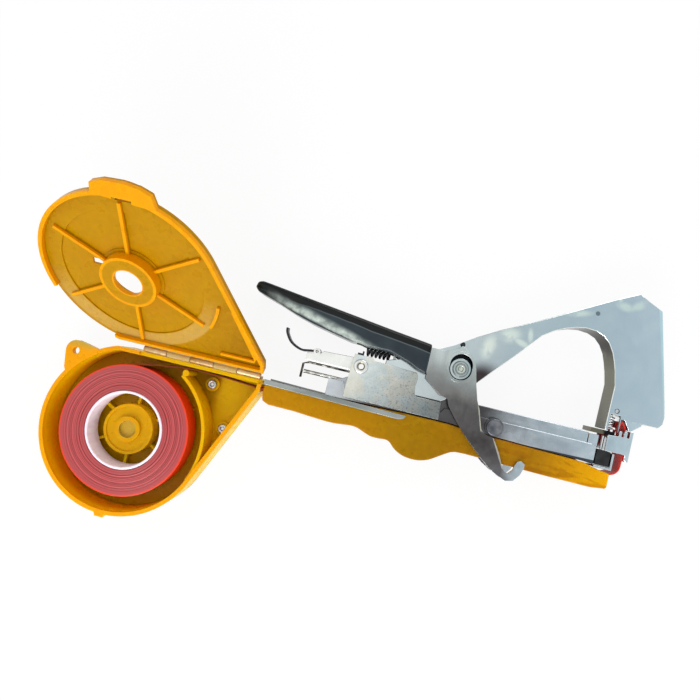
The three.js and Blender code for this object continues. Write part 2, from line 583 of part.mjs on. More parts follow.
// The tape: a roll with grooves between its layers, its core, and the run to the jaws
function tapeRoll() {
  const inner = tape.coreRadius + clearance;
  const outer = rollRadius;
  const { groove } = tape;
  const rings = 3;
  const profile = [[inner, tapeFar], [outer, tapeFar], [outer, tapeNear]];
  for (let i = rings; i > 0; i -= 1) {
    const radius = inner + (outer - inner) * (i / (rings + 1));
    profile.push([radius + groove, tapeNear], [radius, tapeNear - groove], [radius - groove, tapeNear]);
  }
  profile.push([inner, tapeNear], [inner, tapeFar]);
  return piece('tape_roll', turned(hub, profile, roundSegments), 'red');
}

function tapeCore() {
  const bore = tape.coreRadius - tape.coreWall;
  return piece('tape_core', hubRing(tape.coreRadius, bore, tapeFar, tapeNear), 'core');
}

function tapeStrip() {
  const offRoll = new THREE.Vector2(-tape.lead, rollRadius + tape.thickness / 2 + tape.lift);
  const line = curved([offRoll, onCase(tapeLipShares), ...tapeRunShares.map(at)], 40);
  return piece('tape_strip', band(line, tape.thickness, tapeFar, tapeNear), 'red');
}

// The guide grip: a channel open towards the arm, with the tape's own channel along its top
function guideGrip() {
  const bottom = curved(gripBottomShares.map(at), 60);
  const body = plate(new THREE.Shape([...bottom, ...gripTopShares.map(at)]), far(grip.half), near(grip.half));
  const left = bottom[0].x + grip.wall;
  const right = bottom[bottom.length - 1].x - grip.wall;
  const raised = bottom.map((p) => new THREE.Vector2(p.x, p.y + grip.wall));
  const floor = raised.filter((p) => p.x > left && p.x < right);
  const first = new THREE.Vector2(left, floor[0].y);
  const last = new THREE.Vector2(right, floor[floor.length - 1].y);
  const open = up(gripOpenShare);
  const above = [new THREE.Vector2(right, open), new THREE.Vector2(left, open)];
  const inner = grip.half - grip.wall;
  const room = plate(new THREE.Shape([first, ...floor, last, ...above]), far(inner), near(inner));
  const mouth = plate(outline(gripMouthShares), slotFar, slotNear);
  return piece('guide_grip', cut(body, room, mouth), 'amber');
}

const railInner = grip.half + clearance;
const railOuter = railInner + rail.thickness;

function sideRail(name, low, high) {
  return piece(name, plate(outline(railShares), low, high), 'steel');
}

// The frame: a base channel with the rear bracket over its sides
function baseChannel() {
  const body = plate(outline(baseSideShares), far(base.half), near(base.half));
  const [left, right, top] = baseRoomShares;
  const floor = baseSideShares.slice(0, 6).map(([x, y]) => new THREE.Vector2(along(x), up(y) + base.web));
  const room = new THREE.Shape([
    ...floor, new THREE.Vector2(along(right), floor[5].y), at([right, top]), at([left, top]),
    new THREE.Vector2(along(left), floor[0].y),
  ]);
  const inner = base.half - base.wall;
  const hollow = plate(room, far(inner), near(inner));
  const tenon = through(at(fulcrumShares), fulcrum.tenon + clearance, base.half);
  const blind = base.half - magazine.skin;
  const pivot = disc(at(magazinePinShares), magazine.pivot + clearance, far(blind), near(blind), 16);
  return piece('base_channel', cut(body, hollow, tenon, pivot), 'zinc');
}

const bracketInner = base.half + clearance;
const bracketOuter = bracketInner + bracket.thickness;
const bracketTop = up(bracketWebShares[2]) + bracket.web;

function rearBracket() {
  const [from, to, low] = bracketWebShares;
  const web = slab(along(from), up(low), far(bracketOuter), along(to), bracketTop, near(bracketOuter));
  const ovalShape = new THREE.Shape();
  const oval = at(ovalShares);
  ovalShape.absellipse(oval.x, oval.y, bracket.ovalHalfWidth, bracket.ovalHalfHeight, 0, 2 * Math.PI);
  const middle = bracketInner + bracket.thickness / 2;
  const emboss = plate(ovalShape, near(middle), near(bracketOuter + bracket.oval));
  const body = join(...sides(outline(bracketSideShares), bracketInner, bracketOuter), web, emboss);
  const bore = through(at(armPivotShares), armRivet.barrel + clearance, bracketOuter);
  return piece('rear_bracket', cut(body, bore), 'zinc');
}

function armPivotRivet() {
  const seat = bracketOuter + clearance;
  const top = seat + armRivet.headHeight;
  const { barrel, bore, head, headHeight } = armRivet;
  const profile = [
    [bore, far(top)], [barrel, far(top)], [head, far(top) + headHeight / 2], [head, far(seat)],
    [barrel, far(seat)], [barrel, near(seat)], [head, near(seat)], [head, near(top) - headHeight / 2],
    [barrel, near(top)], [bore, near(top)], [bore, far(top)],
  ];
  return piece('arm_pivot_rivet', turned(at(armPivotShares), profile), 'zinc');
}

function magazinePin() {
  const half = base.half - magazine.skin - clearance;
  const stock = disc(at(magazinePinShares), magazine.pivot, far(half), near(half), 16);
  return piece('magazine_pin', stock, 'steel');
}

function fulcrumPin(name, side) {
  const inside = base.half - base.wall;
  const seat = base.half + clearance;
  const collarTop = seat + fulcrum.collarHeight;
  const top = seat + fulcrum.height;
  const heights = [
    [0, inside], [fulcrum.tenon, inside], [fulcrum.tenon, seat], [fulcrum.collar, seat],
    [fulcrum.collar, collarTop], [fulcrum.radius, collarTop], [fulcrum.radius, top - fulcrum.bevel],
    [fulcrum.radius - fulcrum.bevel, top], [0, top],
  ];
  const profile = heights.map(([r, half]) => [r, midPlane + side * half]);
  return piece(name, turned(at(fulcrumShares), side > 0 ? profile : profile.reverse()), 'dark');
}

// The return spring lies along the bracket's top, between its seat there and a stop in the lever
const [coilStart, coilEnd] = coilShares.map(along);

function springSeat() {
  const low = bracketTop + clearance;
  const right = coilStart - clearance;
  const top = low + coil.radius;
  const [back, front] = [far(coil.seatHalf), near(coil.seatHalf)];
  const foot = slab(along(coilSeatShare), low, back, right, low + coil.seat, front);
  const wall = slab(right - coil.seat, low, back, right, top, front);
  return piece('spring_seat', join(foot, wall), 'dark');
}

function returnSpring() {
  const y = bracketTop + clearance + coil.wire + coil.radius;
  const place = (p) => [coilStart + p.z, y + p.x, midPlane + p.y];
  const geometry = spring('return_spring', coil, coilEnd - coilStart, () => coil.radius, place);
  return meshOf('return_spring', geometry, 'dark');
}

// The arm that carries the anvil, and the pins through it
function clincherArm() {
  const body = plate(outline(armOutlineShares), far(base.half), near(base.half));
  const hollow = plate(outline(armHollowShares), far(armInner), near(armInner));
  const opening = plate(outline(armWindowShares), near(armInner - overrun), near(base.half + overrun));
  const bores = [
    through(at(armPivotShares), armRivet.barrel + clearance, base.half),
    through(at(leverPinShares), pin.barrel + clearance, base.half),
    through(at(stopPinShares), stopPin.radius + clearance, base.half, 12),
    through(at(catchPinShares), jaw.pin + clearance, base.half, 12),
  ];
  return piece('clincher_arm', cut(body, hollow, opening, ...bores), 'chrome');
}

const washerInner = base.half + clearance;
const washerOuter = lever.half - clearance;

function leverPin() {
  const seat = lever.half;
  const top = seat + pin.headHeight;
  const rim = top - pin.bevel;
  const profile = [
    [0, far(top)], [pin.head - pin.bevel, far(top)], [pin.head, far(rim)], [pin.head, far(seat)],
    [pin.barrel, far(seat)], [pin.barrel, near(seat)], [pin.head, near(seat)], [pin.head, near(rim)],
    [pin.head - pin.bevel, near(top)], [pin.dimple, near(top)], [pin.dimple, near(top - pin.dimpleDepth)],
    [0, near(top - pin.dimpleDepth)],
  ];
  return piece('lever_pin', turned(at(leverPinShares), profile), 'steel');
}

function leverWasher(name, low, high) {
  return piece(name, ring(at(leverPinShares), pin.washer, pin.barrel + clearance, low, high), 'steel');
}

function armStopPin() {
  const half = base.half + stopPin.stand;
  return piece('arm_stop_pin', disc(at(stopPinShares), stopPin.radius, far(half), near(half), 12), 'dark');
}

// The operating lever: two plates from one folded blank, slotted at the lever pin
function operatingLever() {
  const inner = lever.half - lever.thickness;
  const stock = join(
    plate(outline(leverBladeShares), far(lever.half), near(lever.half)),
    plate(outline(leverTangShares), far(lever.half), near(lever.half)),
  );
  const hollow = plate(outline(leverHollowShares), far(inner), near(inner));
  const centre = at(leverPinShares);
  const raised = new THREE.Vector2(centre.x, centre.y + lever.slotPlay);
  const eye = lever.slotRadius + lever.ring;
  const outer = lever.half + lever.ringHeight;
  const levels = [[near(inner), near(outer)], [far(outer), far(inner)]];
  const rings = levels.map(([low, high]) => join(disc(centre, eye, low, high), disc(raised, eye, low, high)));
  const slot = join(through(centre, lever.slotRadius, outer), through(raised, lever.slotRadius, outer));
  const [stopLow, stopMiddle, stopTop] = leverStopShares.map(up);
  const stopLeft = coilEnd + coil.stopPlay;
  const stopRight = stopLeft + lever.thickness;
  const stop = slab(stopLeft, stopMiddle, far(inner), stopRight, stopTop, near(inner));
  const tongue = slab(stopLeft, stopLow, far(coil.seatHalf), stopRight, stopTop, near(coil.seatHalf));
  return piece('operating_lever', cut(join(cut(stock, hollow), ...rings, stop, tongue), slot), 'steel');
}

// An outline drawn out by a round edge all over
function rounded(shares, half, round, bevelSegments) {
  const options = {
    depth: 2 * half, bevelEnabled: true, bevelThickness: round, bevelSize: round, bevelSegments,
  };
  const geometry = new THREE.ExtrudeGeometry(outline(shares), options);
  geometry.translate(0, 0, far(half));
  return solid(geometry);
}

function leverSleeve() {
  const skin = rounded(sleeveCoreShares, sleeveHalf - sleeve.round, sleeve.round, 3);
  const tang = rounded(leverTangShares, lever.half, clearance, 1);
  const end = bar(sleeveEndShares, sleeveHalf + overrun);
  const mouthHalf = lever.half - lever.thickness;
  const mouth = plate(outline(sleeveMouthShares), far(mouthHalf), near(mouthHalf));
  return piece('lever_sleeve', cut(skin, tang, end, mouth), 'black');
}

// The magazine, which lifts with the arm, and what feeds and drives the staples
function magazineChannel() {
  const body = plate(outline(magazineShares), far(magazineHalf), near(magazineHalf));
  const hollow = plate(outline(magazineHollowShares), far(magazineInner), near(magazineInner));
  const bore = through(at(magazinePinShares), magazine.pivot + clearance, magazineHalf, 16);
  const rodSlot = bar(rodSlotShares, pusher.rod + clearance);
  return piece('magazine_channel', cut(body, hollow, bore, rodSlot), 'zinc');
}

function driverBlade() {
  const [x, low, high] = bladeShares;
  const left = along(x);
  const body = slab(left, up(low), far(bladeHalf), left + blade.thickness, up(high), near(bladeHalf));
  return piece('driver_blade', body, 'steel');
}

function magazineGate() {
  const left = along(bladeShares[0]) - clearance;
  const right = left + blade.thickness + 2 * clearance;
  const half = bladeHalf + clearance;
  const low = up(gateShares[1]) - overrun;
  const high = up(gateShares[3]) + overrun;
  const slot = slab(left, low, far(half), right, high, near(half));
  return piece('magazine_gate', cut(bar(gateShares, magazineHalf), slot), 'zinc');
}

function stapleStick() {
  const [x0, y0, x1, y1] = stapleShares;
  const half = magazineInner - clearance;
  const inner = half - staple.wire;
  const hollow = slab(
    along(x0) - overrun, up(y0) + staple.wire, far(inner), along(x1) + overrun, up(y1) + overrun, near(inner),
  );
  return piece('staple_stick', cut(bar(stapleShares, half), hollow), 'brass');
}

function pusherBlock() {
  return piece('pusher_block', bar(pusherBlockShares, pusherHalf), 'steel');
}

function pusherRod() {
  const { x, y } = at(pusherRodShares);
  const from = new THREE.Vector3(x + pusher.wire + clearance, y, midPlane);
  const to = new THREE.Vector3(along(pusherBlockShares[0]) - clearance, y, midPlane);
  return piece('pusher_rod', wire(new THREE.LineCurve3(from, to), pusher.rod, 1), 'steel');
}

function pullWire() {
  const [tip, corner, foot] = pullWireShares.map(at).map((p) => new THREE.Vector3(p.x, p.y, midPlane));
  const beforeBend = new THREE.Vector3(corner.x + pusher.bend, corner.y, midPlane);
  const afterBend = new THREE.Vector3(corner.x, corner.y - pusher.bend, midPlane);
  const path = new THREE.CurvePath();
  path.add(new THREE.LineCurve3(tip, beforeBend));
  path.add(new THREE.QuadraticBezierCurve3(beforeBend, corner, afterBend));
  path.add(new THREE.LineCurve3(afterBend, foot));
  return piece('pull_wire', wire(path, pusher.wire, 16, 6), 'dark');
}

function pusherSpring() {
  const [from, to] = pusherCoilShares;
  const y = up(pusherRodShares[1]);
  const place = (p) => [along(from) + p.z, y + p.x, midPlane + p.y];
  const length = along(to) - along(from);
  const geometry = spring('pusher_spring', pusherCoil, length, () => pusherCoil.radius, place);
  return meshOf('pusher_spring', geometry, 'steel');
}

// The thumb latch behind the bracket
function latchHousing() {
  const inner = latchHalf - latch.wall;
  const block = plate(outline(latchHousingShares), far(latchHalf), near(latchHalf));
  const ears = sides(outline(latchEarShares), inner, latchHalf);
  const bore = through(at(latchPinShares), latch.pin + clearance, latchHalf, 12);
  return piece('latch_housing', cut(join(cut(block, bar(latchRoomShares, inner)), ...ears), bore), 'zinc');
}

function latchPin() {
  const centre = at(latchPinShares);
  return piece('latch_pin', disc(centre, latch.pin, far(latchHalf), near(latchHalf), 12), 'steel');
}

function thumbLeaf() {
  const half = latchHalf - latch.wall - clearance;
  const strip = band(curved(leafShares.map(at), 20), latch.leaf, far(half), near(half));
  const eye = disc(at(latchPinShares), latch.eye, far(half), near(half), 16);
  const bore = through(at(latchPinShares), latch.pin + clearance, half, 12);
  return piece('thumb_leaf', cut(join(strip, eye), bore), 'black');
}

// The nose: what guides, cuts, clinches and catches the tape
function noseBlock() {
  return piece('nose_block', bar(noseBlockShares, base.half - base.wall / 2), 'black');
}

function noseFrame() {
  return piece('nose_frame', plate(outline(noseFrameShares), far(base.half), near(base.half)), 'chrome');
}

function guidePost(name, side) {
  const [x, low, high] = postShares;
  const geometry = new THREE.CylinderGeometry(jaw.post, jaw.post, up(high) - up(low), 12);
  geometry.translate(along(x), (up(low) + up(high)) / 2, midPlane + side * jaw.postOffset);
  return piece(name, solid(geometry), 'steel');
}

function cutterBlade() {
  const [x, low, high] = cutterShares;
  const teeth = 8;
  const shape = new THREE.Shape();
  shape.moveTo(-cutterHalf, up(low));
  shape.lineTo(cutterHalf, up(low));
  for (let i = teeth; i >= 0; i -= 1) {
    const across = -cutterHalf + (2 * cutterHalf * i) / teeth;
    shape.lineTo(across, up(high) - (i % 2 ? jaw.tooth : 0));
  }
  const geometry = new THREE.ExtrudeGeometry(shape, { depth: blade.thickness, bevelEnabled: false });
  geometry.rotateY(Math.PI / 2);
  geometry.translate(along(x), 0, midPlane);
  return piece('cutter_blade', solid(geometry), 'steel');
}

function anvilBlock() {
  return piece('anvil_block', bar(anvilShares, anvilHalf), 'black');
}

function catchPin() {
  return piece('catch_pin', disc(at(catchPinShares), jaw.pin, far(base.half), near(base.half), 12), 'steel');
}

function catchSpring() {
  const [x, low, high] = catchCoilShares;
  const depth = near(armInner - catchCoil.radius - catchCoil.wire - clearance);
  const place = (p) => [along(x) + p.y, up(low) + p.z, depth + p.x];
  const geometry = spring('catch_spring', catchCoil, up(high) - up(low), () => catchCoil.radius, place);
  return meshOf('catch_spring', geometry, 'steel');
}

function tapeCatch() {
  const inner = catchHalf - jaw.sheet;
  const body = plate(outline(catchSideShares), far(catchHalf), near(catchHalf));
  const hollow = plate(outline(catchHollowShares), far(inner), near(inner));
  return piece('tape_catch', cut(body, hollow), 'chrome');
}

function catchBlock() {
  const body = plate(outline(catchBlockShares), far(catchBlockHalf), near(catchBlockHalf));
  const bore = through(at(catchPinShares), jaw.pin + clearance, catchBlockHalf, 12);
  return piece('catch_block', cut(body, bore), 'black');
}

function tapeEnd() {
  const line = curved(tapeEndShares.map(at), 20);
  return piece('tape_end', band(line, tape.thickness, far(anvilHalf), near(anvilHalf)), 'red');
}

const pliers = new THREE.Group();
pliers.add(
  tapeCase(),
  caseRivet('case_rivet_upper', rivetShares[0]),
  caseRivet('case_rivet_lower', rivetShares[1]),
  hingeBar(),
  lidHingePin(),
  caseLid(),
  tapeRoll(),
  tapeCore(),
  tapeStrip(),
  guideGrip(),
  sideRail('side_rail_near', near(railInner), near(railOuter)),
  sideRail('side_rail_far', far(railOuter), far(railInner)),
  baseChannel(),
  rearBracket(),
  armPivotRivet(),
  magazinePin(),
  fulcrumPin('fulcrum_pin_near', 1),
  fulcrumPin('fulcrum_pin_far', -1),
  springSeat(),
  returnSpring(),
  clincherArm(),
  leverPin(),
  leverWasher('lever_washer_near', near(washerInner), near(washerOuter)),
  leverWasher('lever_washer_far', far(washerOuter), far(washerInner)),
  armStopPin(),
  operatingLever(),
  leverSleeve(),
  magazineChannel(),
  magazineGate(),
  stapleStick(),
  driverBlade(),
  latchHousing(),
  latchPin(),
  thumbLeaf(),
  pusherBlock(),
  pusherRod(),
  pullWire(),
  pusherSpring(),
  noseBlock(),
  noseFrame(),
  guidePost('guide_post_near', 1),
  guidePost('guide_post_far', -1),
  cutterBlade(),
  anvilBlock(),
  catchPin(),
  catchSpring(),
  tapeCatch(),
  catchBlock(),
  tapeEnd(),
);

export default pliers;
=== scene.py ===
"""Looks of the vine tying pliers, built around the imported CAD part.

Everything is in metres in the part's own frame: the tool lies on its side with the back of its
tape case on the floor, +X runs from the case to the jaws, +Y from the grip to the arm, +Z up.
Most pieces are their CAD node with broken edges, true arcs and a finish of their own. The tape,
the springs, the sleeve, the turned pins and the rivets are modelled here and stand for their nodes.
"""

import json
import math

import bmesh
import bpy
from mathutils import Matrix, Vector

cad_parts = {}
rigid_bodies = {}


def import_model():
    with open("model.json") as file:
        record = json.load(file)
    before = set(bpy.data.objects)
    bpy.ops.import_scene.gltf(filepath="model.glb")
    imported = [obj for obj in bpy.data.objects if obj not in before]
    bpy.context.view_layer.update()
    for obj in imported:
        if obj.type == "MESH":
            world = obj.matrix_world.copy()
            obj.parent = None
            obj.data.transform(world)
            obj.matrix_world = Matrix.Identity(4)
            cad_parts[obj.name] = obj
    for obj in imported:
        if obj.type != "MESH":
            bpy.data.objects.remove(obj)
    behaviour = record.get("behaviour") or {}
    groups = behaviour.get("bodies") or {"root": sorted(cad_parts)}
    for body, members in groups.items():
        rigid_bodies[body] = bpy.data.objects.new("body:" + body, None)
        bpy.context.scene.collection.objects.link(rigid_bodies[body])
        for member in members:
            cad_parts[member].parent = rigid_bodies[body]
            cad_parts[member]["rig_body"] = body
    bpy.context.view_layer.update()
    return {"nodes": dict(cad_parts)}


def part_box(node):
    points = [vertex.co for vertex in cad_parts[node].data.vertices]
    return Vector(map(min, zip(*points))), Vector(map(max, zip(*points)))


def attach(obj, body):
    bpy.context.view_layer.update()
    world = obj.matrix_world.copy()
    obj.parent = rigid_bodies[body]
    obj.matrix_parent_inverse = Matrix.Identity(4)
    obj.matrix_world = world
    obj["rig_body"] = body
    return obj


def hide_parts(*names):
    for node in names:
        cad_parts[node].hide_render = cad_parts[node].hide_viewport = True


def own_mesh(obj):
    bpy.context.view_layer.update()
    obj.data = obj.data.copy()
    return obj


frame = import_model()
nodes = frame["nodes"]

MM = 0.001
MID_PLANE = 11 * MM          # the two sides of the tool mirror in this height
NEAR_FACE = 17               # the height of the arm's near face, in millimetres
PLATE_CORNERS = 12           # a face with this many corners is a flat plate
HUB = Vector((0, 0))         # centre of the tape case
UPRIGHT = (1, 1, 0)          # the stretch that measures a distance from an upright line
GRAIN = 0.02 * MM            # how far the fine grain of a metal stands out

# The hinge that the lid is swung open about, and the move from the closed lid to the open one
LID_OPEN_DEGREES = 134
HINGE = Vector((0, 42 * MM, 18 * MM))
LID_SWING = (
    Matrix.Translation(HINGE)
    @ Matrix.Rotation(math.radians(-LID_OPEN_DEGREES), 4, "X")
    @ Matrix.Translation(-HINGE)
)

# The photograph's camera: its place, its turns from the world and its focal length
CAMERA_PLACE = Vector((0.112493, 0.055379, 0.281652))
CAMERA_TURNS = (("X", -2.598), ("Y", -2.036), ("Z", -13.49))
CAMERA_LENS = 27.72
SENSOR = 36

# The soft square lamps, each with its place, width and power, and the point that they are aimed at
LAMPS = (("window", (0.05, -0.75, 0.5), 0.5, 5), ("fill", (0.45, 1.2, 0.6), 0.8, 5))
LAMP_TARGET = (0.1, 0.04, 0.01)


def mm(*values):
    """Millimetres as metres."""
    return tuple(value * MM for value in values)


# Materials

def rgb(red, green, blue):
    """A display colour, 0 to 255, as the linear colour that a shader takes."""
    def linear(value):
        share = value / 255
        return share / 12.92 if share <= 0.04045 else ((share + 0.055) / 1.055) ** 2.4

    return (linear(red), linear(green), linear(blue), 1)


class Nodes:
    """Short calls for the nodes of a material or world; place is the vector they are laid out by."""

    def __init__(self, tree):
        self.tree = tree
        self.place = self.add("ShaderNodeTexCoord").outputs["Object"]

    def feed(self, socket, value):
        if isinstance(value, bpy.types.NodeSocket):
            self.tree.links.new(value, socket)
        else:
            socket.default_value = value

    def add(self, kind, settings=(), **inputs):
        node = self.tree.nodes.new(kind)
        for name, value in dict(settings).items():
            setattr(node, name, value)
        for name, value in inputs.items():
            self.feed(node.inputs[name], value)
        return node

    def math(self, operation, first, second=0.0, third=0.0):
        node = self.add("ShaderNodeMath", {"operation": operation})
        for socket, value in zip(node.inputs, (first, second, third)):
            self.feed(socket, value)
        return node.outputs[0]

    def times(self, first, *others):
        """The product of the values."""
        for value in others:
            first = self.math("MULTIPLY", first, value)
        return first

    def spread(self, value, low, high, to_low=0.0, to_high=1.0, smooth=False):
        """The value's run from low to high, as a number from to_low to to_high."""
        kind = "SMOOTHSTEP" if smooth else "LINEAR"
        node = self.add("ShaderNodeMapRange", {"interpolation_type": kind}, Value=value)
        limits = {"From Min": low, "From Max": high, "To Min": to_low, "To Max": to_high}
        for name, number in limits.items():
            node.inputs[name].default_value = number
        return node.outputs["Result"]

    def between(self, value, start, full, still, end):
        """1 where the value is from full to still, falling to 0 at start and at end."""
        return self.times(self.spread(value, start, full), self.spread(value, still, end, 1, 0))

    def mix(self, share, first, second):
        node = self.add("ShaderNodeMix", {"data_type": "RGBA", "blend_type": "MIX"})
        self.feed(node.inputs[0], share)
        self.feed(node.inputs[6], first)
        self.feed(node.inputs[7], second)
        return node.outputs[2]

    def ramp(self, value, *stops):
        node = self.add("ShaderNodeValToRGB", Fac=value)
        elements = node.color_ramp.elements
        while len(elements) < len(stops):
            elements.new(0.5)
        for element, (position, colour) in zip(elements, stops):
            element.position = position
            element.color = colour
        return node.outputs["Color"]

    def noise(self, scale, detail=3.0, roughness=0.5, distortion=0.0, stretch=(1, 1, 1)):
        """Noise with about scale features to a metre along each axis, stretched by the shares."""
        moved = self.add("ShaderNodeMapping", Vector=self.place, Scale=stretch)
        node = self.add(
            "ShaderNodeTexNoise", Vector=moved.outputs[0], Scale=scale, Detail=detail,
            Roughness=roughness, Distortion=distortion,
        )
        return node.outputs["Fac"]

    def cloud(self, scale, to_low=0.0, to_high=1.0, low=0.3, high=0.7, **looks):
        """Noise from low to high, as a number from to_low to to_high."""
        return self.spread(self.noise(scale, **looks), low, high, to_low, to_high)

    def cells(self, scale):
        node = self.add("ShaderNodeTexVoronoi", {"feature": "F1"}, Vector=self.place, Scale=scale)
        return node.outputs["Distance"]

    def axis(self, name, place=None):
        return self.add("ShaderNodeSeparateXYZ", Vector=place or self.place).outputs[name]

    def leaning(self, lean, main="X", other="Y"):
        """The place along the main axis, plus lean times the place along the other one."""
        return self.math("MULTIPLY_ADD", self.axis(other), lean, self.axis(main))

    def from_point(self, point, stretch=(1, 1, 1), turn=0.0, place=None):
        """The distance from a point, measured in units that stretch makes longer or shorter."""
        away = self.add("ShaderNodeVectorMath", {"operation": "SUBTRACT"})
        self.feed(away.inputs[0], place or self.place)
        away.inputs[1].default_value = point
        turned = self.add("ShaderNodeVectorRotate", {"rotation_type": "Z_AXIS"}, Vector=away.outputs[0])
        turned.inputs["Angle"].default_value = math.radians(turn)
        scaled = self.add("ShaderNodeVectorMath", {"operation": "MULTIPLY"})
        self.feed(scaled.inputs[0], turned.outputs[0])
        scaled.inputs[1].default_value = stretch
        length = self.add("ShaderNodeVectorMath", {"operation": "LENGTH"})
        self.feed(length.inputs[0], scaled.outputs[0])
        return length.outputs["Value"]

    def spot(self, point, inner, outer, stretch=(1, 1, 1), turn=0.0):
        """1 within inner of a point, falling smoothly to 0 at outer."""
        return self.spread(self.from_point(point, stretch, turn), inner, outer, 1, 0, smooth=True)


class Finish(Nodes):
    """A Principled material."""

    def __init__(self, name, roughness=0.4, metallic=0.0, **sockets):
        self.material = bpy.data.materials.new(name)
        self.material.use_nodes = True
        super().__init__(self.material.node_tree)
        self.shader = self.tree.nodes["Principled BSDF"]
        self.height = None
        self.set(roughness=roughness, metallic=metallic, **sockets)

    def set(self, **sockets):
        for name, value in sockets.items():
            socket = self.shader.inputs[name.replace("_", " ").title().replace("Ior", "IOR")]
            self.feed(socket, value)

    def normal(self):
        return self.add("ShaderNodeTexCoord").outputs["Normal"]

    def facing(self, point):
        """How far the surface faces a point: 1 where it looks straight at it."""
        away = self.add("ShaderNodeVectorMath", {"operation": "SUBTRACT"})
        away.inputs[0].default_value = point
        self.feed(away.inputs[1], self.place)
        unit = self.add("ShaderNodeVectorMath", {"operation": "NORMALIZE"}, Vector=away.outputs[0])
        dot = self.add("ShaderNodeVectorMath", {"operation": "DOT_PRODUCT"})
        self.feed(dot.inputs[0], self.normal())
        self.feed(dot.inputs[1], unit.outputs[0])
        return dot.outputs["Value"]

    def bump(self, height, distance, strength=1.0):
        """Adds relief: distance is how far a height of 1 stands out."""
        node = self.add("ShaderNodeBump", Height=height, Distance=distance, Strength=strength)
        if self.height is not None:
            self.tree.links.new(self.height, node.inputs["Normal"])
        self.height = node.outputs["Normal"]
        self.tree.links.new(self.height, self.shader.inputs["Normal"])


def amber(name, shades):
    """Half-clear amber plastic: a base colour from shades(finish), with flow marks and fine scuffs."""
    finish = Finish(name, ior=1.49, specular_ior_level=0.05)
    finish.set(transmission_weight=0.1, subsurface_weight=0.5, subsurface_scale=3 * MM)
    finish.shader.inputs["Subsurface Radius"].default_value = (1, 0.5, 0.06)
    flow = finish.cloud(38, 0, 0.1, detail=2, distortion=0.8)
    scuffs = finish.cloud(420, 0, 0.1, low=0.35, detail=4)
    colour = finish.mix(flow, shades(finish), rgb(170, 110, 0))
    finish.set(base_color=finish.mix(scuffs, colour, rgb(246, 186, 0)))
    finish.set(roughness=finish.cloud(160, 0.22, 0.4, high=0.75, detail=5))
    finish.bump(finish.noise(700, detail=3), 0.03 * MM, 0.5)
    return finish.material


def case_colours_and_painted_light(finish):
    """Olive amber on the floor of the case, which is painted shade; bright orange on the rims and yellow
    in the corner, which are painted glow.
    """
    rim = 18 * MM
    corner_edge, corner_top = mm(35, 41), mm(12, 17)
    hub_edge, hub_side = mm(12.9, 13.2), mm(5, 6)
    boss_edge, boss_side = mm(4.4, 4.7), mm(9, 10)
    lug_foot, lug_edge = mm(33, 38), mm(-22, -26)
    x, y, height = (finish.axis(name) for name in "XYZ")
    # The colour rises with height: painted shade darkens the floor to olive, and a painted orange glow
    # lies along the rim's top
    painted_height_light = finish.ramp(
        finish.spread(height, 0, rim), (0.0, rgb(188, 140, 0)), (0.14, rgb(194, 146, 0)),
        (0.3, rgb(250, 200, 0)), (0.85, rgb(252, 202, 0)), (0.985, rgb(244, 172, 0)),
        (1.0, rgb(255, 172, 10)),
    )
    # Painted glow: the deep corner is painted bright yellow below the rim
    below_rim = finish.spread(height, *corner_top, 1, 0)
    corner = finish.times(finish.spread(x, *corner_edge, smooth=True), below_rim)
    painted_corner_glow = finish.mix(corner, painted_height_light, rgb(255, 206, 0))
    radius = finish.from_point((0, 0, 0), UPRIGHT)
    hub = finish.times(finish.spread(radius, *hub_edge, 1, 0), finish.spread(height, *hub_side))
    boss = finish.times(finish.spread(radius, *boss_edge, 1, 0), finish.spread(height, *boss_side))
    stepped = finish.mix(hub, painted_corner_glow, rgb(220, 164, 6))
    capped = finish.mix(boss, stepped, rgb(206, 168, 62))
    beside = finish.spread(x, *lug_edge, smooth=True)
    lug = finish.times(finish.spread(y, *lug_foot, smooth=True), beside)
    return finish.mix(lug, capped, rgb(206, 176, 70))


def lid_shades(finish):
    """On the closed lid: olive amber on the plate, orange on ribs and rim, paler near the hinge."""
    reach = 66 * MM
    ring_edges, cup_edges = mm(33, 33.6, 40, 40.6), mm(7, 7.4, 11.4, 12)
    paling, rib_top, knuckle_edge = mm(2, 22), mm(20.3, 20.6), mm(2, 2.4)
    turned = finish.add("ShaderNodeMapping", Vector=finish.place)
    back = LID_SWING.inverted()
    turned.inputs["Location"].default_value = back.to_translation()
    turned.inputs["Rotation"].default_value = back.to_euler()
    closed = turned.outputs[0]
    y, height = finish.axis("Y", closed), finish.axis("Z", closed)
    radius = finish.from_point((0, 0, 0), UPRIGHT, place=closed)
    zones = finish.ramp(
        finish.spread(radius, 0, reach), (0.0, rgb(186, 134, 0)), (0.22, rgb(184, 132, 0)),
        (0.4, rgb(178, 132, 0)), (0.5, rgb(182, 134, 0)), (0.66, rgb(174, 126, 0)),
        (0.9, rgb(156, 108, 0)),
    )
    ring = finish.between(radius, *ring_edges)
    pale = finish.times(ring, finish.spread(y, *paling, 0, 0.75))
    plate = finish.mix(pale, zones, rgb(200, 164, 84))
    above = finish.spread(height, *rib_top, 1, 0)
    cup = finish.between(radius, *cup_edges)
    raised = finish.math("SUBTRACT", above, finish.times(cup, above))
    ribbed = finish.mix(raised, plate, rgb(240, 160, 0))
    from_pin = finish.from_point(HINGE, (0, 1, 1), place=closed)
    return finish.mix(finish.spread(from_pin, *knuckle_edge, 1, 0), ribbed, rgb(206, 172, 116))


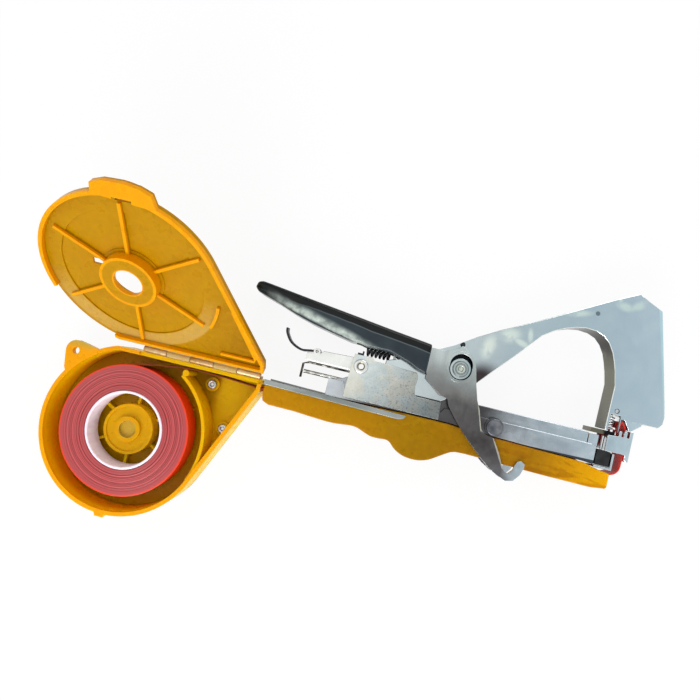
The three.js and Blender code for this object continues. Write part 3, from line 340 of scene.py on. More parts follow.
def grip_shades(finish):
    """The grip darkens into its bulge and pales at the jaws, with brown flow lines at its end."""
    length = mm(64, 234)
    along = finish.spread(finish.axis("X"), *length)
    zones = finish.ramp(
        along, (0.0, rgb(192, 134, 0)), (0.3, rgb(176, 124, 0)), (0.45, rgb(156, 114, 0)),
        (0.6, rgb(154, 108, 2)), (0.8, rgb(166, 116, 8)), (1.0, rgb(242, 174, 0)),
    )
    lines = finish.cloud(130, low=0.54, high=0.62, distortion=1.2, stretch=(0.35, 1.6, 1))
    end = finish.times(lines, finish.spread(along, 0.5, 0.75, 0, 0.45))
    return finish.mix(end, zones, rgb(150, 84, 0))


def plated(name, dark, light, roughness, grain=90.0, spots=0.0, streak=(1, 1, 1), tint_and_painted_light=None):
    """Plated sheet: cloudy between two colours, faintly dimpled, with optional crystal spots."""
    finish = Finish(name, roughness=roughness, metallic=1.0)
    mottle = finish.cloud(grain, detail=6, roughness=0.6, distortion=0.4, stretch=streak)
    colour = finish.mix(mottle, dark, light)
    if spots:
        speckle = finish.spread(finish.cells(900), 0.15, 0.6)
        patches = finish.cloud(220, low=0.42, high=0.6, detail=2)
        colour = finish.mix(finish.times(speckle, patches, spots), colour, dark)
    # Colours laid over the mottle; for the bracket, channel, lever and arm these hold painted light and
    # shade
    if tint_and_painted_light:
        colour = tint_and_painted_light(finish, colour)
    finish.set(base_color=colour)
    finish.set(roughness=finish.cloud(grain * 2.5, roughness * 0.75, roughness * 1.35, detail=5))
    finish.bump(finish.noise(grain * 6, detail=4), GRAIN, 0.6)
    return finish.material


def lever_painted_reflections(finish, colour):
    """Painted reflections: pale by the pin, brown and dark at the middle, with a painted highlight down
    the right edge and on the hook.
    """
    height, swing, left_edge = mm(20, 86), mm(-3, 3), mm(182, 190)
    hook_start, hook_top = mm(184, 191), mm(34, 38)
    # The painted highlight on the edge: the edge's two straight runs, above and below its notch, and
    # where each of them ends
    upper_lean, upper_line, upper_foot = 0.322, 183.8 * MM, mm(41, 42)
    lower_lean, lower_line, lower_top = 0.5556, 198.9 * MM, mm(40.4, 40.8)
    run_end, run_top = mm(184, 185), mm(52, 55)
    x, y = finish.axis("X"), finish.axis("Y")
    # Painted reflections in bands up the lever: pale by the pin, dark brown at the middle
    zones = finish.ramp(
        finish.spread(finish.math("ADD", y, finish.cloud(70, *swing, detail=4)), *height),
        (0.0, rgb(118, 114, 120)), (0.14, rgb(112, 106, 110)), (0.22, rgb(64, 52, 54)),
        (0.38, rgb(60, 46, 46)), (0.47, rgb(58, 50, 50)), (0.54, rgb(132, 128, 124)),
        (0.62, rgb(154, 160, 158)), (0.74, rgb(212, 222, 220)), (1.0, rgb(222, 232, 232)),
    )
    streaks = finish.cloud(160, 0, 0.3, low=0.35, detail=4, stretch=(1.6, 0.25, 1))
    streaked = finish.mix(streaks, zones, rgb(150, 146, 142))
    # Painted shade along the lever's left side
    left = finish.spread(finish.leaning(0.62), *left_edge, 0.35, 0, smooth=True)
    shaded = finish.mix(0.2, finish.mix(left, streaked, rgb(78, 70, 68)), colour)
    # A painted highlight on the hook
    hook = finish.times(finish.spread(x, *hook_start), finish.spread(y, *hook_top, 1, 0))
    hook_highlighted = finish.mix(hook, shaded, rgb(232, 246, 255))
    # A painted highlight along the right edge
    upper = finish.math("GREATER_THAN", finish.leaning(upper_lean), upper_line)
    lower = finish.math("GREATER_THAN", finish.leaning(lower_lean), lower_line)
    edge = finish.math(
        "MAXIMUM", finish.times(upper, finish.spread(y, *upper_foot)),
        finish.times(lower, finish.spread(y, *lower_top, 1, 0)),
    )
    run = finish.times(edge, finish.spread(x, *run_end, 1, 0), finish.spread(y, *run_top, 0.9, 0))
    return finish.mix(run, hook_highlighted, rgb(244, 238, 222))


def channel_painted_shade(finish, colour):
    """A painted reflection darkens it behind the lever; pale blue towards the jaws, with a dark painted
    shadow along its lower edge.
    """
    swing, darkening, fading = mm(-4, 4), mm(92, 118), mm(170, 194)
    wedge_lean, wedge_edge, wedge_start = -0.02, mm(35.8, 36), mm(164, 170)
    x = finish.axis("X")
    # Painted reflection: dark brown behind the lever, fading out towards the jaws
    place = finish.math("ADD", x, finish.cloud(60, *swing))
    still = finish.spread(place, *fading, 0.88, 0, smooth=True)
    shaded = finish.mix(finish.times(finish.spread(place, *darkening), still), colour, rgb(58, 48, 48))
    # Painted shadow in the gap along the lower edge, over the grip
    lowest = finish.spread(finish.leaning(wedge_lean, "Y", "X"), *wedge_edge, 1, 0)
    gap_shadow = finish.times(lowest, finish.spread(x, *wedge_start, 0, 0.9))
    return finish.mix(gap_shadow, shaded, rgb(34, 40, 54))


def bracket_painted_shade(finish, colour):
    """Cream at the upper left, with painted shade falling to a dark speckled lower right."""
    lean, reach = -0.9, mm(56, 104)
    # Painted shade, deepening towards the lower right
    painted_shade = finish.spread(finish.leaning(lean), *reach)
    patches = finish.cloud(130, low=0.42, high=0.58, detail=2)
    tints = finish.mix(patches, rgb(250, 244, 226), rgb(222, 238, 240))
    shaded = finish.mix(finish.times(painted_shade, 0.8), finish.mix(0.5, colour, tints), rgb(92, 100, 104))
    # Dark specks, drawn stronger where the painted shade is deeper
    specks = finish.cloud(1100, low=0.56, high=0.62)
    dark = finish.times(specks, finish.spread(painted_shade, 0.1, 0.7, 0, 0.5))
    return finish.mix(dark, shaded, rgb(74, 80, 90))


# The pale smears on the arm: place and reach in millimetres, stretch, and turn in degrees
ARM_SMEARS = (
    ((166, 82), 7, (1.5, 0.8, 1), 12), ((175, 90), 6, (0.8, 1.2, 1), -20),
    ((181, 87.5), 5, (0.7, 2.2, 1), 18), ((184.5, 92), 4, (2.2, 0.8, 1), -10),
    ((205, 108), 6, (0.7, 2.6, 1), -14), ((226, 116), 5, (0.8, 1.6, 1), 8),
    ((231.5, 117.5), 5.5, (0.8, 1.8, 1), -40), ((223, 119.5), 3, (2, 1, 1), 10),
)


def arm_marks_and_painted_light(finish, colour):
    """Pale blue with smears and a brown patch, painted highlights along its edges, and painted shade in
    the pin's pocket, the dimple and inside the arch.
    """
    length, arch_height, swing = mm(104, 255), mm(60, 110), mm(-4, 4)
    brown_centre, brown_edges = mm(165, 66, NEAR_FACE), mm(3, 13)
    strip_lean, strip_edge, strip_side = 0.2518, mm(271.4, 271.7), mm(16.4, 16.8)
    pocket, pocket_edge = mm(154.7, 69, 0), mm(7.6, 7.8)
    dimple, dimple_edges = mm(213.6, 110, NEAR_FACE), mm(0.9, 1.3)
    arch_middle = mm(205, 62, 11)
    zones = finish.ramp(
        finish.spread(finish.axis("X"), *length), (0.0, rgb(206, 218, 220)),
        (0.35, rgb(206, 216, 218)), (0.6, rgb(206, 216, 220)), (0.85, rgb(226, 232, 238)),
        (1.0, rgb(238, 244, 248)),
    )
    smears = 0.0
    for place, outer, stretch, turn in ARM_SMEARS:
        point = mm(*place, NEAR_FACE)
        here = finish.spot(point, 0.2 * outer * MM, outer * MM, stretch, turn)
        smears = finish.math("MAXIMUM", smears, here)
    broken = finish.times(smears, finish.cloud(160, 0.35, 1, low=0.36, high=0.48, detail=4))
    plain = finish.mix(broken, finish.mix(0.7, colour, zones), rgb(250, 255, 244))
    # A brown patch beside the lever pin
    brown = finish.spot(brown_centre, *brown_edges, (1, 1.3, 1), -30)
    browned = finish.mix(finish.times(brown, 0.95), plain, rgb(64, 44, 46))
    # A painted highlight: a bright strip along the arm's right edge
    over = finish.spread(finish.axis("Z"), *strip_side)
    strip = finish.times(finish.spread(finish.leaning(strip_lean), *strip_edge), over)
    lit = finish.mix(strip, browned, rgb(232, 252, 255))
    # Painted shade in the pin's pocket and in the dimple
    pocket_shade = finish.spread(finish.from_point(pocket, UPRIGHT), *pocket_edge, 1, 0)
    dark = finish.math("MAXIMUM", pocket_shade, finish.times(finish.spot(dimple, *dimple_edges), 0.6))
    pits_shaded = finish.mix(dark, lit, rgb(24, 24, 26))
    # A painted highlight on the broken edges
    up = finish.axis("Z", finish.normal())
    edges = finish.times(finish.between(up, 0.2, 0.4, 0.85, 0.97), 0.9)
    edges_highlighted = finish.mix(edges, pits_shaded, rgb(250, 255, 250))
    # Painted shade inside the arch, darkest at its top
    upright = finish.spread(up, 0.1, 0.3, 1, 0)
    inside = finish.times(finish.spread(finish.facing(arch_middle), 0.35, 0.6), upright)
    finish.set(metallic=finish.spread(inside, 0, 1, 1, 0), specular_ior_level=0.15)
    sway = finish.cloud(90, *swing, low=0.35, high=0.65, stretch=(1, 0.4, 1))
    shadowed = finish.ramp(
        finish.spread(finish.math("ADD", finish.axis("Y"), sway), *arch_height),
        (0.0, rgb(122, 121, 108)), (0.3, rgb(122, 121, 107)), (0.55, rgb(116, 116, 100)),
        (0.68, rgb(94, 92, 78)), (0.78, rgb(34, 30, 26)), (1.0, rgb(20, 18, 16)),
    )
    return finish.mix(inside, edges_highlighted, shadowed)


def anvil_coat():
    """Olive steel on the anvil's left end, black in its middle, bright steel at its right."""
    length = mm(220, 240)
    finish = Finish("anvil_coat", roughness=0.35, metallic=0.9)
    along = finish.spread(finish.axis("X"), *length)
    finish.set(base_color=finish.ramp(
        finish.math("ADD", along, finish.cloud(300, -0.03, 0.03, detail=4)),
        (0.0, rgb(120, 116, 98)), (0.4, rgb(110, 106, 92)), (0.46, rgb(26, 26, 28)),
        (0.8, rgb(34, 34, 36)), (0.88, rgb(176, 184, 186)), (1.0, rgb(206, 214, 216)),
    ))
    finish.bump(finish.noise(900, detail=3), GRAIN, 0.6)
    return finish.material


def turned_steel(name, centre, *stops):
    """The turned face of a pin: rings around the centre, each stop at a radius in millimetres."""
    finish = Finish(name, roughness=0.28, metallic=1.0)
    last = stops[-1][0]
    radius = finish.spread(finish.from_point((*centre, 0), UPRIGHT), 0, last * MM)
    rings = finish.ramp(radius, *((at / last, colour) for at, colour in stops))
    haze_and_sheen = finish.cloud(400, 0, 0.3, detail=4)
    finish.set(base_color=finish.mix(haze_and_sheen, rings, rgb(190, 196, 190)))
    finish.bump(finish.noise(1200, detail=3), GRAIN, 0.6)
    return finish.material


def rod_with_painted_light(name, dark, light):
    """A thin rod with painted light: a painted highlight along its top and painted dark reflections down
    its sides, as if between its neighbours.
    """
    finish = Finish(name, roughness=0.3, metallic=0.8)
    up = finish.math("ADD", finish.axis("Z", finish.normal()), finish.cloud(260, -0.05, 0.05))
    finish.set(base_color=finish.ramp(up, (0.0, dark), (0.86, dark), (0.95, light), (1.0, light)))
    finish.bump(finish.noise(900, detail=2), GRAIN, 0.5)
    return finish.material


def wound_tape():
    """The face of the roll: fine rings, one for each layer of tape, over a crimson body."""
    layers_to_a_metre, outer_edge = 1500, mm(31.8, 32.2)
    finish = Finish("tape_wound", roughness=0.42)
    radius = finish.from_point((0, 0, 0), UPRIGHT)
    layers = finish.add("ShaderNodeTexNoise", {"noise_dimensions": "1D"}, Scale=1.0, Detail=4.0)
    finish.feed(layers.inputs["W"], finish.times(radius, layers_to_a_metre))
    fine = finish.spread(layers.outputs["Fac"], 0.3, 0.7)
    rings = finish.mix(fine, rgb(116, 12, 16), rgb(214, 88, 90))
    face = finish.mix(finish.cloud(60, 0, 0.4, low=0.35), rings, rgb(176, 74, 76))
    outside = finish.spread(radius, *outer_edge)
    finish.set(base_color=finish.mix(outside, face, rgb(235, 56, 10)))
    finish.bump(layers.outputs["Fac"], 0.2 * MM, 0.9)
    return finish.material


def plain_tape():
    """The tape's run: painted shade where it lies in the case, red from there to the jaws."""
    case_end = mm(60, 66)
    finish = Finish("tape_run", roughness=0.45, specular_ior_level=0.25)
    marks = finish.noise(120, detail=3, stretch=(0.15, 1, 1))
    red = finish.mix(finish.spread(marks, 0.3, 0.7), rgb(196, 30, 28), rgb(222, 58, 44))
    # Painted shade on the tape inside the case
    case_shade = finish.spread(finish.axis("X"), *case_end, 1, 0)
    finish.set(base_color=finish.mix(case_shade, red, rgb(128, 50, 10)))
    finish.bump(marks, 0.05 * MM, 0.4)
    return finish.material


def core_board():
    finish = Finish("core_board", roughness=0.85)
    fibres = finish.noise(500, detail=6, stretch=(1, 1, 0.3))
    shade = finish.spread(fibres, 0.3, 0.7)
    finish.set(base_color=finish.mix(shade, rgb(246, 226, 246), rgb(255, 248, 255)))
    finish.bump(fibres, 0.06 * MM, 0.6)
    return finish.material


def black_vinyl():
    """Dipped vinyl: blue-black, with painted shade over its ridge, a painted highlight along the ridge
    and a mottled painted sheen in a pale band by its lower edge.
    """
    swing, ridge_lean, sheen_lean = mm(-0.5, 0.5), 0.1318, 0.267
    shade_over_ridge, ridge_line, ridge_fade = mm(90.4, 91.2), mm(90.3, 90.7, 90.7, 91.1), mm(60, 100)
    sheen_rise, sheen_fall, sheen_run = mm(95.6, 96.6), mm(97.4, 101), mm(54, 70, 98, 116)
    finish = Finish("black_vinyl", roughness=0.2, ior=1.5, specular_ior_level=0.3)
    x = finish.axis("X")
    body = finish.mix(finish.cloud(60), rgb(24, 34, 42), rgb(46, 58, 64))
    sway = finish.cloud(45, *swing, detail=2)
    across = finish.math("ADD", finish.leaning(ridge_lean, "Y", "X"), sway)
    # Painted shade: blacker over the ridge
    shaded = finish.mix(finish.spread(across, *shade_over_ridge, smooth=True), body, rgb(6, 8, 10))
    # A painted highlight along the ridge
    ridge = finish.between(across, *ridge_line)
    ridge_highlight = finish.times(ridge, finish.spread(x, *ridge_fade, 0.05, 0.45))
    ridged = finish.mix(ridge_highlight, shaded, rgb(120, 132, 134))
    # A mottled painted sheen in a pale band by the lower edge
    low = finish.math("ADD", finish.leaning(sheen_lean, "Y", "X"), sway)
    haze_and_sheen = finish.times(
        finish.spread(low, *sheen_rise), finish.spread(low, *sheen_fall, 1, 0, smooth=True),
        finish.between(x, *sheen_run), finish.cloud(300, 0.35, 1, high=0.65, detail=5),
    )
    finish.set(base_color=finish.mix(haze_and_sheen, ridged, rgb(200, 212, 204)))
    finish.set(roughness=finish.cloud(260, 0.14, 0.3, high=0.75, detail=5))
    finish.bump(finish.noise(90, detail=2), 0.25 * MM, 0.5)
    finish.bump(finish.noise(900, detail=3), GRAIN, 0.5)
    return finish.material


def dark_coat(name, dark, light, roughness, metallic):
    finish = Finish(name, roughness=roughness, metallic=metallic)
    finish.set(base_color=finish.mix(finish.cloud(240, high=0.72, detail=5), dark, light))
    finish.bump(finish.noise(1500, detail=3), GRAIN, 0.6)
    return finish.material


looks = {
    "case": amber("amber_case", case_colours_and_painted_light),
    "lid": amber("amber_lid", lid_shades),
    "grip": amber("amber_grip", grip_shades),
    "zinc": plated(
        "zinc_steel", rgb(196, 204, 200), rgb(252, 252, 248), 0.3, grain=160, spots=0.5,
        tint_and_painted_light=bracket_painted_shade,
    ),
    "rail": plated(
        "rail_steel", rgb(124, 132, 130), rgb(184, 190, 188), 0.3, grain=120, streak=(0.2, 1, 1),
    ),
    "latch": plated("latch_steel", rgb(236, 238, 232), rgb(255, 255, 252), 0.34, grain=120),
    "channel": plated(
        "channel_steel", rgb(190, 195, 203), rgb(229, 236, 240), 0.22, grain=70,
        streak=(0.3, 1, 1), tint_and_painted_light=channel_painted_shade,
    ),
    "lever": plated(
        "lever_steel", rgb(170, 172, 174), rgb(226, 230, 230), 0.18, grain=60, tint_and_painted_light=lever_painted_reflections,
    ),
    "arm": plated(
        "arm_steel", rgb(186, 200, 206), rgb(228, 236, 238), 0.16, grain=50, tint_and_painted_light=arm_marks_and_painted_light,
    ),
    "steel": plated("plain_steel", rgb(190, 192, 194), rgb(238, 240, 240), 0.25, grain=120),
    "yellowed": plated("yellowed_steel", rgb(176, 132, 74), rgb(226, 200, 156), 0.35, grain=180),
    "chrome": plated("chrome_plate", rgb(204, 214, 218), rgb(244, 248, 250), 0.12, grain=80),
    "blade": plated(
        "blade_steel", rgb(170, 176, 180), rgb(230, 234, 236), 0.18, grain=90, streak=(1, 0.1, 1),
    ),
    "wire": plated("staple_wire", rgb(170, 140, 84), rgb(214, 190, 130), 0.3, grain=300),
    "rod": rod_with_painted_light("rod_steel", rgb(58, 54, 46), rgb(236, 236, 228)),
    # The pin's dark rings are painted shade in the grooves of its head and at its rim
    "pin": turned_steel(
        "pin_steel", mm(154.7, 68.2), (0, rgb(232, 232, 208)), (0.8, rgb(214, 220, 206)),
        (1.2, rgb(110, 116, 112)), (1.5, rgb(206, 214, 208)), (2.1, rgb(190, 198, 194)),
        (2.4, rgb(104, 110, 108)), (2.7, rgb(196, 204, 202)), (3.3, rgb(168, 178, 178)),
        (3.7, rgb(80, 84, 84)), (4.1, rgb(200, 212, 214)), (5.0, rgb(190, 206, 212)),
    ),
    "rivet": turned_steel(
        "rivet_steel", mm(107.7, 58.3), (0, rgb(250, 250, 246)), (1.2, rgb(236, 236, 226)),
        (1.5, rgb(112, 102, 74)), (1.9, rgb(140, 130, 100)), (2.2, rgb(246, 246, 242)),
        (3.2, rgb(250, 250, 248)), (3.5, rgb(150, 150, 146)),
    ),
    "anvil": anvil_coat(),
    "worn": dark_coat("worn_steel", rgb(76, 76, 82), rgb(134, 136, 142), 0.3, 0.9),
    "dark": dark_coat("dark_steel", rgb(40, 42, 46), rgb(96, 98, 104), 0.3, 0.9),
    "black": dark_coat("black_coat", rgb(14, 15, 17), rgb(44, 46, 48), 0.4, 0.3),
    "vinyl": black_vinyl(),
    "roll": wound_tape(),
    "tape": plain_tape(),
    "core": core_board(),
}


# Meshes

def link(name, mesh, look):
    piece = bpy.data.objects.new(name, mesh)
    bpy.context.scene.collection.objects.link(piece)
    mesh.materials.clear()
    mesh.materials.append(looks[look])
    return piece


def stand_for(piece, *names):
    """The piece replaces these CAD nodes and rides on the body of the first."""
    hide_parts(*names)
    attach(piece, nodes[names[0]]["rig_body"])
    return piece


def shade(bm, sharp_degrees):
    """Smooth shading, sharp over the angle, and flat on plates, which have many corners."""
    for face in bm.faces:
        face.smooth = len(face.verts) < PLATE_CORNERS
    sharp = math.radians(sharp_degrees)
    for edge in bm.edges:
        edge.smooth = len(edge.link_faces) == 2 and edge.calc_face_angle() < sharp


def cleaned(name, join=0.004 * MM, sliver=0.02 * MM, flat_degrees=0.5):
    """A CAD node's mesh with its triangles dissolved into flat faces."""
    bm = bmesh.new()
    bm.from_mesh(nodes[name].data)
    bmesh.ops.remove_doubles(bm, verts=bm.verts, dist=join)
    bmesh.ops.dissolve_degenerate(bm, dist=sliver, edges=bm.edges)
    flat = math.radians(flat_degrees)
    bmesh.ops.dissolve_limit(bm, angle_limit=flat, verts=bm.verts, edges=bm.edges)
    return bm


def true_arcs(bm, centre, cuts=3, play=0.01 * MM, shortest=0.5 * MM, longest_share=0.5):
    """Adds points on the flats of circles about an upright axis, and moves them out to the circle."""
    moves = {}
    flats = []
    for edge in bm.edges:
        a, b = (v.co for v in edge.verts)
        ra, rb = ((p.xy - centre).length for p in (a, b))
        chord = (a.xy - b.xy).length
        alike = abs(a.z - b.z) < play and abs(ra - rb) < play
        if alike and shortest < chord < longest_share * ra:
            flats.append(edge)
            for step in range(1, cuts + 1):
                flat = a.lerp(b, step / (cuts + 1))
                out = (flat.xy - centre).normalized() * ra + centre
                moves[flat.to_tuple(6)] = (out, flat.z)
    bmesh.ops.subdivide_edges(bm, edges=flats, cuts=cuts)
    for vert in bm.verts:
        found = moves.get(vert.co.to_tuple(6))
        if found:
            vert.co.xy = found[0]


def soften(bm, width, segments=2, corner_degrees=28, room=2.5):
    """Breaks outer edges sharper than the angle, where their neighbours leave room for it."""
    tight = {v for v in bm.verts if min(e.calc_length() for e in v.link_edges) < room * width}
    corner = math.radians(corner_degrees)
    edges = [
        e for e in bm.edges
        if e.is_convex and e.calc_face_angle() > corner and tight.isdisjoint(e.verts)
    ]
    bmesh.ops.bevel(
        bm, geom=edges, offset=width, offset_type="OFFSET", segments=segments, profile=0.5,
        affect="EDGES", clamp_overlap=False, loop_slide=True,
    )


def folded(bm):
    """The area of the triangles that lie face down in their face, where a bevel ran into itself."""
    bm.normal_update()
    area = 0
    for loops in bm.calc_loop_triangles():
        a, b, c = (loop.vert.co for loop in loops)
        across = (b - a).cross(c - a)
        if across.dot(loops[0].face.normal) < 0:
            area += across.length / 2
    return area


def finished(bm, name, look, sharp_degrees=50):
    shade(bm, sharp_degrees)
    mesh = bpy.data.meshes.new(name)
    bm.to_mesh(mesh)
    bm.free()
    piece = link(name, mesh, look)
    weighted = piece.modifiers.new("weighted_normals", "WEIGHTED_NORMAL")
    weighted.keep_sharp = True
    return piece


def dressed(name, look, width=0.2 * MM, arcs=(), frame_move=None):
    """A CAD node as a new piece with true arcs and broken edges, as wide as its faces stay flat with."""
    folds_allowed = 0.1 * MM * MM
    for share in (1, 0.7, 0.5, 0.3, 0):
        bm = cleaned(name)
        if frame_move:
            bm.transform(frame_move.inverted())
        for centre in arcs:
            true_arcs(bm, centre)
        if width * share:
            soften(bm, width * share)
        if share == 0 or folded(bm) < folds_allowed:
            break
        bm.free()
    if frame_move:
        bm.transform(frame_move)
    return stand_for(finished(bm, f"{name}_look", look), name)


def lathe(name, centre, profile, look, segments=64, sharp_degrees=40):
    """A body of revolution about an upright axis; the profile is a closed run of (radius, height)."""
    bm = bmesh.new()
    rings = []
    for step in range(segments):
        angle = 2 * math.pi * step / segments
        direction = Vector((math.cos(angle), math.sin(angle)))
        rings.append([bm.verts.new((*(centre + direction * r), z)) for r, z in profile])
    for step in range(segments):
        here, after = rings[step], rings[(step + 1) % segments]
        for i in range(len(profile) - 1):
            bm.faces.new((here[i], after[i], after[i + 1], here[i + 1]))
    bmesh.ops.remove_doubles(bm, verts=bm.verts, dist=0.001 * MM)
    bmesh.ops.recalc_face_normals(bm, faces=bm.faces)
    return finished(bm, name, look, sharp_degrees)


def tube(name, points, radius, look, sides=12):
    """A round wire along a smooth run of points."""
    bm = bmesh.new()
    normal = None
    rings = []
    turns = [2 * math.pi * k / sides for k in range(sides)]
    for i, point in enumerate(points):
        direction = (points[min(i + 1, len(points) - 1)] - points[max(i - 1, 0)]).normalized()
        guess = normal or direction.orthogonal()
        normal = (guess - direction * guess.dot(direction)).normalized()
        side = direction.cross(normal)
        rings.append([
            bm.verts.new(point + (normal * math.cos(t) + side * math.sin(t)) * radius) for t in turns
        ])
    for here, after in zip(rings, rings[1:]):
        for k in range(sides):
            bm.faces.new((here[k], here[(k + 1) % sides], after[(k + 1) % sides], after[k]))
    bm.faces.new(reversed(rings[0]))
    bm.faces.new(rings[-1])
    bmesh.ops.recalc_face_normals(bm, faces=bm.faces)
    return finished(bm, name, look)


# The tape case, its lid and the hinge between them

rivet_upper = sum(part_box("case_rivet_upper"), Vector()) / 2
rivet_lower = sum(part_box("case_rivet_lower"), Vector()) / 2
# The case keeps its solid's edges, because broken ones fold over each other at its narrow ribs
dressed("tape_case", "case", 0, arcs=(HUB, rivet_upper.xy, rivet_lower.xy))
dressed("case_lid", "lid", 0.25 * MM, arcs=(HUB,), frame_move=LID_SWING)
dressed("hinge_bar", "yellowed")
dressed("lid_hinge_pin", "yellowed", 0.1 * MM)


def eyelet(name, centre):
    """A rolled tubular rivet: a domed flange around an open barrel."""
    low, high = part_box(name)
    head = (high.x - low.x) / 2
    bore, barrel, lip = 0.34 * head, 0.54 * head, 0.97 * head
    flange, dome, steps = 1 * MM, 0.6 * MM, 8
    middle, half = (bore + head) / 2, (head - bore) / 2
    under = high.z - flange
    profile = [(bore, low.z), (barrel, low.z), (barrel, under), (lip, under)]
    for step in range(steps + 1):
        angle = math.pi * step / steps
        rise = dome * math.sin(angle)
        profile.append((middle + half * math.cos(angle), high.z - dome + rise))
    profile.append((bore, low.z))
    return stand_for(lathe(f"{name}_look", centre, profile, "steel"), name)


eyelet("case_rivet_upper", rivet_upper.xy)
eyelet("case_rivet_lower", rivet_lower.xy)


# The tape

def roll_of_tape():
    """The wound roll: its face steps gently from layer to layer, with three deeper grooves."""
    low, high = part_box("tape_roll")
    outer = high.x
    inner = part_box("tape_core")[1].x + 0.3 * MM
    layers, ripple, rounding = 90, 0.05 * MM, 0.3 * MM
    quick, slow = 2.4, 0.37      # how far the ripple's two waves go on with each layer, in radians
    grooves, groove_depth, groove_half = 3, 0.175 * MM, 0.3 * MM
    seam, seam_half, seam_depth = 2.8 * MM, 0.2 * MM, 0.15 * MM
    marks = [inner + (outer - inner) * i / (grooves + 1) for i in range(1, grooves + 1)]
    face = []
    for step in range(layers + 1):
        radius = inner + (outer - inner) * step / layers
        wave = ripple * math.sin(step * quick) * math.sin(step * slow)
        nearest = min(abs(radius - mark) for mark in marks)
        dip = groove_depth * max(0, 1 - nearest / groove_half)
        edge = rounding * max(0, (radius - outer + rounding) / rounding) ** 2
        face.append((radius, high.z - ripple + wave - dip - edge))
    middle = high.z - seam
    line = [(outer, middle + seam_half), (outer - seam_depth, middle), (outer, middle - seam_half)]
    profile = [*face, *line, (outer, low.z), (inner, low.z), face[0]]
    piece = lathe("tape_roll_look", HUB, profile, "roll", segments=160, sharp_degrees=60)
    return stand_for(piece, "tape_roll")


def core_of_tape():
    low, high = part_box("tape_core")
    outer, wall, edge = high.x, 1.3 * MM, 0.3 * MM
    inner = outer - wall
    profile = [
        (outer, low.z), (outer, high.z - edge), (outer - edge, high.z), (inner + edge, high.z),
        (inner, high.z - edge), (inner, low.z), (outer, low.z),
    ]
    return stand_for(lathe("tape_core_look", HUB, profile, "core", segments=128), "tape_core")


roll_of_tape()
core_of_tape()
dressed("tape_strip", "tape", 0)
dressed("tape_end", "tape", 0)


# Springs

def coil(name, start, axis, across, length, wire, radius, curls, look):
    """An open spring from start along axis, whose first curl begins towards across."""
    curl_steps = 28
    side = axis.cross(across)
    steps = curls * curl_steps
    points = []
    for i in range(steps + 1):
        share = i / steps
        turn = 2 * math.pi * curls * share
        height = wire + (length - 2 * wire) * share
        out = (across * math.cos(turn) + side * math.sin(turn)) * radius
        points.append(start + axis * height + out)
    return stand_for(tube(f"{name}_look", points, wire, look), name)


def springs():
    right, back, up = Vector((1, 0, 0)), Vector((0, 1, 0)), Vector((0, 0, 1))
    low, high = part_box("return_spring")
    wire, around = 0.6 * MM, 2 * MM
    centre = Vector((low.x, (low.y + high.y) / 2, MID_PLANE))
    coil("return_spring", centre, right, back, high.x - low.x, wire, around, curls=6, look="dark")
    low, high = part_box("pusher_spring")
    wire = 0.35 * MM
    centre = Vector((low.x, (low.y + high.y) / 2, MID_PLANE))
    around = (high.y - low.y) / 2 - wire
    full, travel = high.x - low.x, 14 * MM
    pushed = coil("pusher_spring", centre, right, back, full, wire, around, curls=10, look="steel")
    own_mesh(pushed)
    low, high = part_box("catch_spring")
    centre = Vector(((low.x + high.x) / 2, low.y, (low.z + high.z) / 2))
    around = (high.z - low.z) / 2 - wire
    coil("catch_spring", centre, back, up, high.y - low.y, wire, around, curls=5, look="steel")


springs()


# The sleeve on the lever

def vinyl_sleeve(voxel=0.5 * MM, passes=6):
    """The dipped sleeve: the node's form, evened out as soft vinyl is."""
    piece = link("lever_sleeve_look", nodes["lever_sleeve"].data.copy(), "vinyl")
    remesh = piece.modifiers.new("remesh", "REMESH")
    remesh.mode = "VOXEL"
    remesh.voxel_size = voxel
    depsgraph = bpy.context.evaluated_depsgraph_get()
    evened = bpy.data.meshes.new_from_object(piece.evaluated_get(depsgraph))
    piece.modifiers.clear()
    bm = bmesh.new()
    bm.from_mesh(evened)
    for _ in range(passes):
        bmesh.ops.smooth_vert(
            bm, verts=bm.verts, factor=0.5, use_axis_x=True, use_axis_y=True, use_axis_z=True,
        )
    shade(bm, sharp_degrees=60)
    bm.to_mesh(evened)
    bm.free()
    piece.data = evened
    evened.materials.clear()
    evened.materials.append(looks["vinyl"])
    return stand_for(piece, "lever_sleeve")


vinyl_sleeve()


# Pins and rivets: their profiles are written as steps in from the head's rim and face

def turned(name, look, profile):
    """A turned piece in the place of a CAD node."""
    low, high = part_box(name)
    centre = ((low + high) / 2).xy
    return stand_for(lathe(f"{name}_look", centre, profile, look, sharp_degrees=50), name)


def lever_pin():
    """The pin's head: two turned rings around a dimple."""
    low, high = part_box("lever_pin")
    head, barrel, seat, chamfer = mm(3.9, 2.4, 0.9, 0.4)
    near, far = high.z, low.z
    profile = [
        (0, far), (head - chamfer, far), (head, far + chamfer), (head, far + seat),
        (barrel, far + seat), (barrel, near - seat), (head, near - seat),
    ]
    for step_in, depth in (
        (0, 0.35), (0.12, 0.12), (0.35, 0), (1.1, 0), (1.25, 0.18), (1.5, 0.18), (1.65, 0),
    ):
        profile.append((head - step_in * MM, near - depth * MM))
    for radius, depth in ((1.5, 0), (1.3, 0.1), (1.15, 0.4), (0.5, 0.5), (0, 0.5)):
        profile.append((radius * MM, near - depth * MM))
    return turned("lever_pin", "pin", profile)


